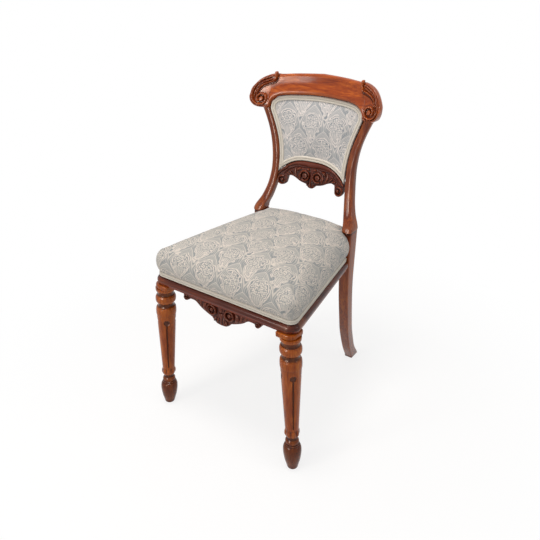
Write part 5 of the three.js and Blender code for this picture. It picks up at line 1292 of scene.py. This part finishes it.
# %% Hessian
hessian_top = rail_top + 5.1  # over two webs and the gaps between them
post_side, post_y = post_outer - post_width - 0.7, post_front - 0.7  # the hessian is cut round the rear posts
plan = seat_edge(-2.1, 380, 6, 20, 24)
plan = np.array([p for p in plan if not (abs(p[0]) > post_side and p[1] > post_y)])
cut = [(plan[-1][0], post_y), (post_side, post_y), (post_side, 380)]
plan = np.concatenate([plan, cut, [(-post_side, 380), (-post_side, post_y), (plan[0][0], post_y)]])
rings = [np.column_stack([plan, np.full(len(plan), z)]) for z in (hessian_top - 1, hessian_top)]
seat_hessian = new_piece("seat_hessian_cloth", loft(rings), hessian_cloth, ["seat_hessian"], 40)
body, _ = panel_slab(0.01, even(8.55), even(9.55), 40, 30)
back_hessian = new_piece("back_hessian_cloth", body, hessian_cloth, ["back_hessian"], 60)

# %% Webs
web_wide, web_thick = 50, 1.6
long_x = [share * half_back * 2 for share in (-0.32, 0, 0.32)]
cross_y = [share * post_front for share in (0.2, 0.5, 0.8)]


def web(along, at, start, end, crossings, first):
    """A strap along x or y, at `at`, which passes over and under the straps at `crossings` in turn."""
    wave = (web_thick + 0.3) / 2
    middle = rail_top + 0.3 + wave + web_thick / 2
    stops = [(start, -1)]
    for index, place in enumerate(crossings):
        up = 1 if (index + first) % 2 == 0 else -1
        stops += [(place - web_wide / 2 - web_thick, up), (place + web_wide / 2 + web_thick, up)]
    stops.append((end, -1))
    rings = []
    for place in np.linspace(start, end, 90):
        height = middle + wave * np.interp(place, [s[0] for s in stops], [s[1] for s in stops])
        strap = [(-25, -0.8), (-8, -0.8), (8, -0.8), (25, -0.8), (25, 0.8), (8, 0.8), (-8, 0.8), (-25, 0.8)]
        rings.append([(at + a, place, height + h) if along == "y" else (place, at + a, height + h) for a, h in strap])
    return loft(rings)


for index, x in enumerate(long_x):
    new_piece(f"web_long_{index + 1}", web("y", x, -6.9, 376.85, cross_y, index), web_cloth,
              [f"long_web_{index + 1}"], 40)
for index, y in enumerate(cross_y):
    reach = half_width(y + 25) - 1.6
    new_piece(f"web_cross_{index + 1}", web("x", y, -reach, reach, long_x, index + 1), web_cloth,
              [f"cross_web_{index + 1}"], 40)

# %% [markdown]
# ## Braid
# Gimp braid hides the tacks. Two corded ridges run along it, each thread laid at a slant, so the ridges look beaded. A
# bump would vanish along the outline, where braid is seen best, so the beads are in the mesh. The eye sees a matt cream
# band with soft grey between its threads, which is painted shade, drawn from the same hollows as on the wood.


# %% Braid material
def braid_cloth(name):
    material, tree = new_material(name)
    place = add_node(tree, "TexCoord")
    fuzz = add_node(tree, "TexNoise", {"Vector": place.outputs["Object"], "Scale": 420.0, "Detail": 3.0})
    # painted shade: the braid turns grey where the mesh marks a hollow between its cords
    hollow = add_node(tree, "Attribute", attribute_name="hollow")
    tone = add_node(tree, "Math", {0: hollow.outputs["Fac"], 1: fuzz}, operation="SUBTRACT")
    colour = add_node(tree, "ValToRGB", {"Fac": add_node(tree, "MapRange", {0: tone, 1: -0.9, 2: 0.2})}, stops=[
        (0.0, linear("#cfc9bd")), (0.55, linear("#bdb7ab")), (1.0, linear("#948e82"))])
    bump = add_node(tree, "Bump", {"Height": fuzz, "Strength": 0.3, "Distance": 0.0004})
    shader = add_node(tree, "BsdfPrincipled", {"Base Color": colour, "Roughness": 0.75, "Normal": bump,
                                               "Sheen Weight": 0.3, "Specular IOR Level": 0.3})
    add_node(tree, "OutputMaterial", {"Surface": shader})
    return material


braid = braid_cloth("gimp_braid")
gimp_wide, gimp_thick = 12, 2.6


def braid_strip(inner, outward, upward):
    """Rings across the strip: `inner` runs along its back, `outward` lifts it and `upward` runs across its width."""
    inner, outward, upward = [np.asarray(v, float) for v in (inner, outward, upward)]
    run = np.concatenate([[0], np.cumsum(np.linalg.norm(np.diff(inner, axis=0), axis=1))])
    widths = np.linspace(0.02, 0.98, 13)
    rings = []
    for place, lift_way, wide_way, distance in zip(inner, outward, upward, run):
        ring = [place, place + wide_way * gimp_wide]
        top = []
        for share in widths:
            cord = abs(sin(2 * pi * share))
            slant = share * gimp_wide * (1 if share < 0.5 else -1)
            bead = 0.78 + 0.22 * cos(2 * pi * (distance + slant * 0.8) / 4.2)
            edge = min(share, 1 - share) / 0.12
            height = gimp_thick * (0.6 + 0.4 * sqrt(cord) * bead) * min(1, 0.45 + 0.55 * edge)
            top.append(place + wide_way * gimp_wide * share + lift_way * height)
        rings.append(ring + top[::-1])
    return loft(rings)


def along_path(points, spacing=0.9):
    """The same path in even steps of about `spacing` mm."""
    points = np.asarray(points, float)
    run = np.concatenate([[0], np.cumsum(np.linalg.norm(np.diff(points, axis=0), axis=1))])
    at = np.linspace(0, run[-1], int(run[-1] / spacing) + 1)
    return np.stack([np.interp(at, run, points[:, c]) for c in range(points.shape[1])], 1)


# %% Seat braid
seat_path = along_path(seat_edge(0.2 * seat_bulge + 0.7, post_front - 0.7, 16, 40, 40))
tangent = np.gradient(seat_path, axis=0)
tangent /= np.linalg.norm(tangent, axis=1, keepdims=True)
outward = np.column_stack([tangent[:, 1], -tangent[:, 0], np.zeros(len(tangent))])
inner = np.column_stack([seat_path, np.full(len(seat_path), mould_top + 0.4)])
strip = braid_strip(inner, outward, np.tile((0, 0, 1.0), (len(inner), 1)))
piece = new_piece("seat_braid", strip, braid, ["seat_gimp"], 80)
mark_hollows(piece, 4, 0.6)


# %% Panel braids
def mitred_strip(outer, inner, start, end, depth):
    """One run of braid: `start` and `end` are where its inner edge meets the other run's inner edge."""
    run = np.linspace(0, len(outer) - 1, len(outer))
    slack = 3 * max(start, len(outer) - 1 - end)
    far = len(outer) - 1 - slack
    keys = np.interp(run, [0, slack, far, len(outer) - 1], [start, slack, far, end])
    inner = np.stack([np.interp(keys, run, inner[:, c]) for c in (0, 1)], 1)
    low, high = [np.column_stack([p[:, 0], back_y(p[:, 0], p[:, 1]) + depth, p[:, 1]]) for p in (outer, inner)]
    facing = -1 if depth < 5 else 1  # the front braid faces the sitter, the other one faces away
    return braid_strip(low, np.tile((0, facing, 0), (len(low), 1)), (high - low) / gimp_wide)


def inward_of(path):
    """The inner edge of a braid whose outer edge is `path`."""
    step = np.gradient(path, axis=0)
    step /= np.linalg.norm(step, axis=1, keepdims=True)
    return path + np.column_stack([step[:, 1], -step[:, 0]]) * gimp_wide


def panel_braid(name, depth, stands_for):
    """One run over the sides and the top and one along the foot, mitred where their inner edges meet."""
    edge = 0.008
    way = np.linspace(edge, 1 - edge, 60)
    round_top = [(edge, u) for u in way] + [(a, 1 - edge) for a in way[1:]] + [(1 - edge, u) for u in way[-2::-1]]
    hood = along_path([panel_point(a, u) for a, u in round_top])
    foot = along_path([panel_point(a, edge) for a in way[::-1]])
    hood_in, foot_in = inward_of(hood), inward_of(foot)
    gaps = np.linalg.norm(hood_in[:, None] - foot_in[None], axis=2)
    half_hood, half_foot = len(hood) // 2, len(foot) // 2
    left = np.unravel_index(gaps[:half_hood, half_foot:].argmin(), (half_hood, len(foot) - half_foot))
    right = np.unravel_index(gaps[half_hood:, :half_foot].argmin(), (len(hood) - half_hood, half_foot))
    strips = [mitred_strip(hood, hood_in, left[0], half_hood + right[0], depth),
              mitred_strip(foot, foot_in, right[1], half_foot + left[1], depth)]
    piece = new_piece(name, join(strips), braid, stands_for, 80)
    mark_hollows(piece, 4, 0.6)


panel_braid("back_braid", 2.6, ["back_gimp"])
panel_braid("outside_back_braid", 20.4, ["outside_back_gimp"])

# %% [markdown]
# ## Hidden timber and screws
# The rear rail, corner blocks and glue blocks are plain beech, and the blocks are held by steel screws. Their measured
# shapes are right, so they only get their finishes: pale dry wood without polish, and dull steel with fine scratches,
# which breaks up its reflections.


# %% Finishes of the measured pieces
def brushed_steel(name):
    material, tree = new_material(name)
    place = add_node(tree, "TexCoord")
    scratches = add_node(tree, "TexNoise", {"Vector": place.outputs["Object"], "Scale": 900.0, "Detail": 3.0})
    colour = add_node(tree, "ValToRGB", {"Fac": scratches}, stops=[(0.3, linear("#5e5c58")), (0.7, linear("#8f8d88"))])
    rough = add_node(tree, "MapRange", {0: scratches, 3: 0.35, 4: 0.55})
    shader = add_node(tree, "BsdfPrincipled", {"Base Color": colour, "Metallic": 1.0, "Roughness": rough})
    add_node(tree, "OutputMaterial", {"Surface": shader})
    return material


steel = brushed_steel("screw_steel")
for name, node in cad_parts.items():
    finish = steel if "screw" in name else plain_beech if ("block" in name or name == "rear_seat_rail") else None
    if finish:
        for slot in node.material_slots:
            slot.material = finish
        print(name, "is finished in", finish.name)

# %% [markdown]
# ## Last update
# The scene is brought up to date once more.

# %% Update
bpy.context.view_layer.update()
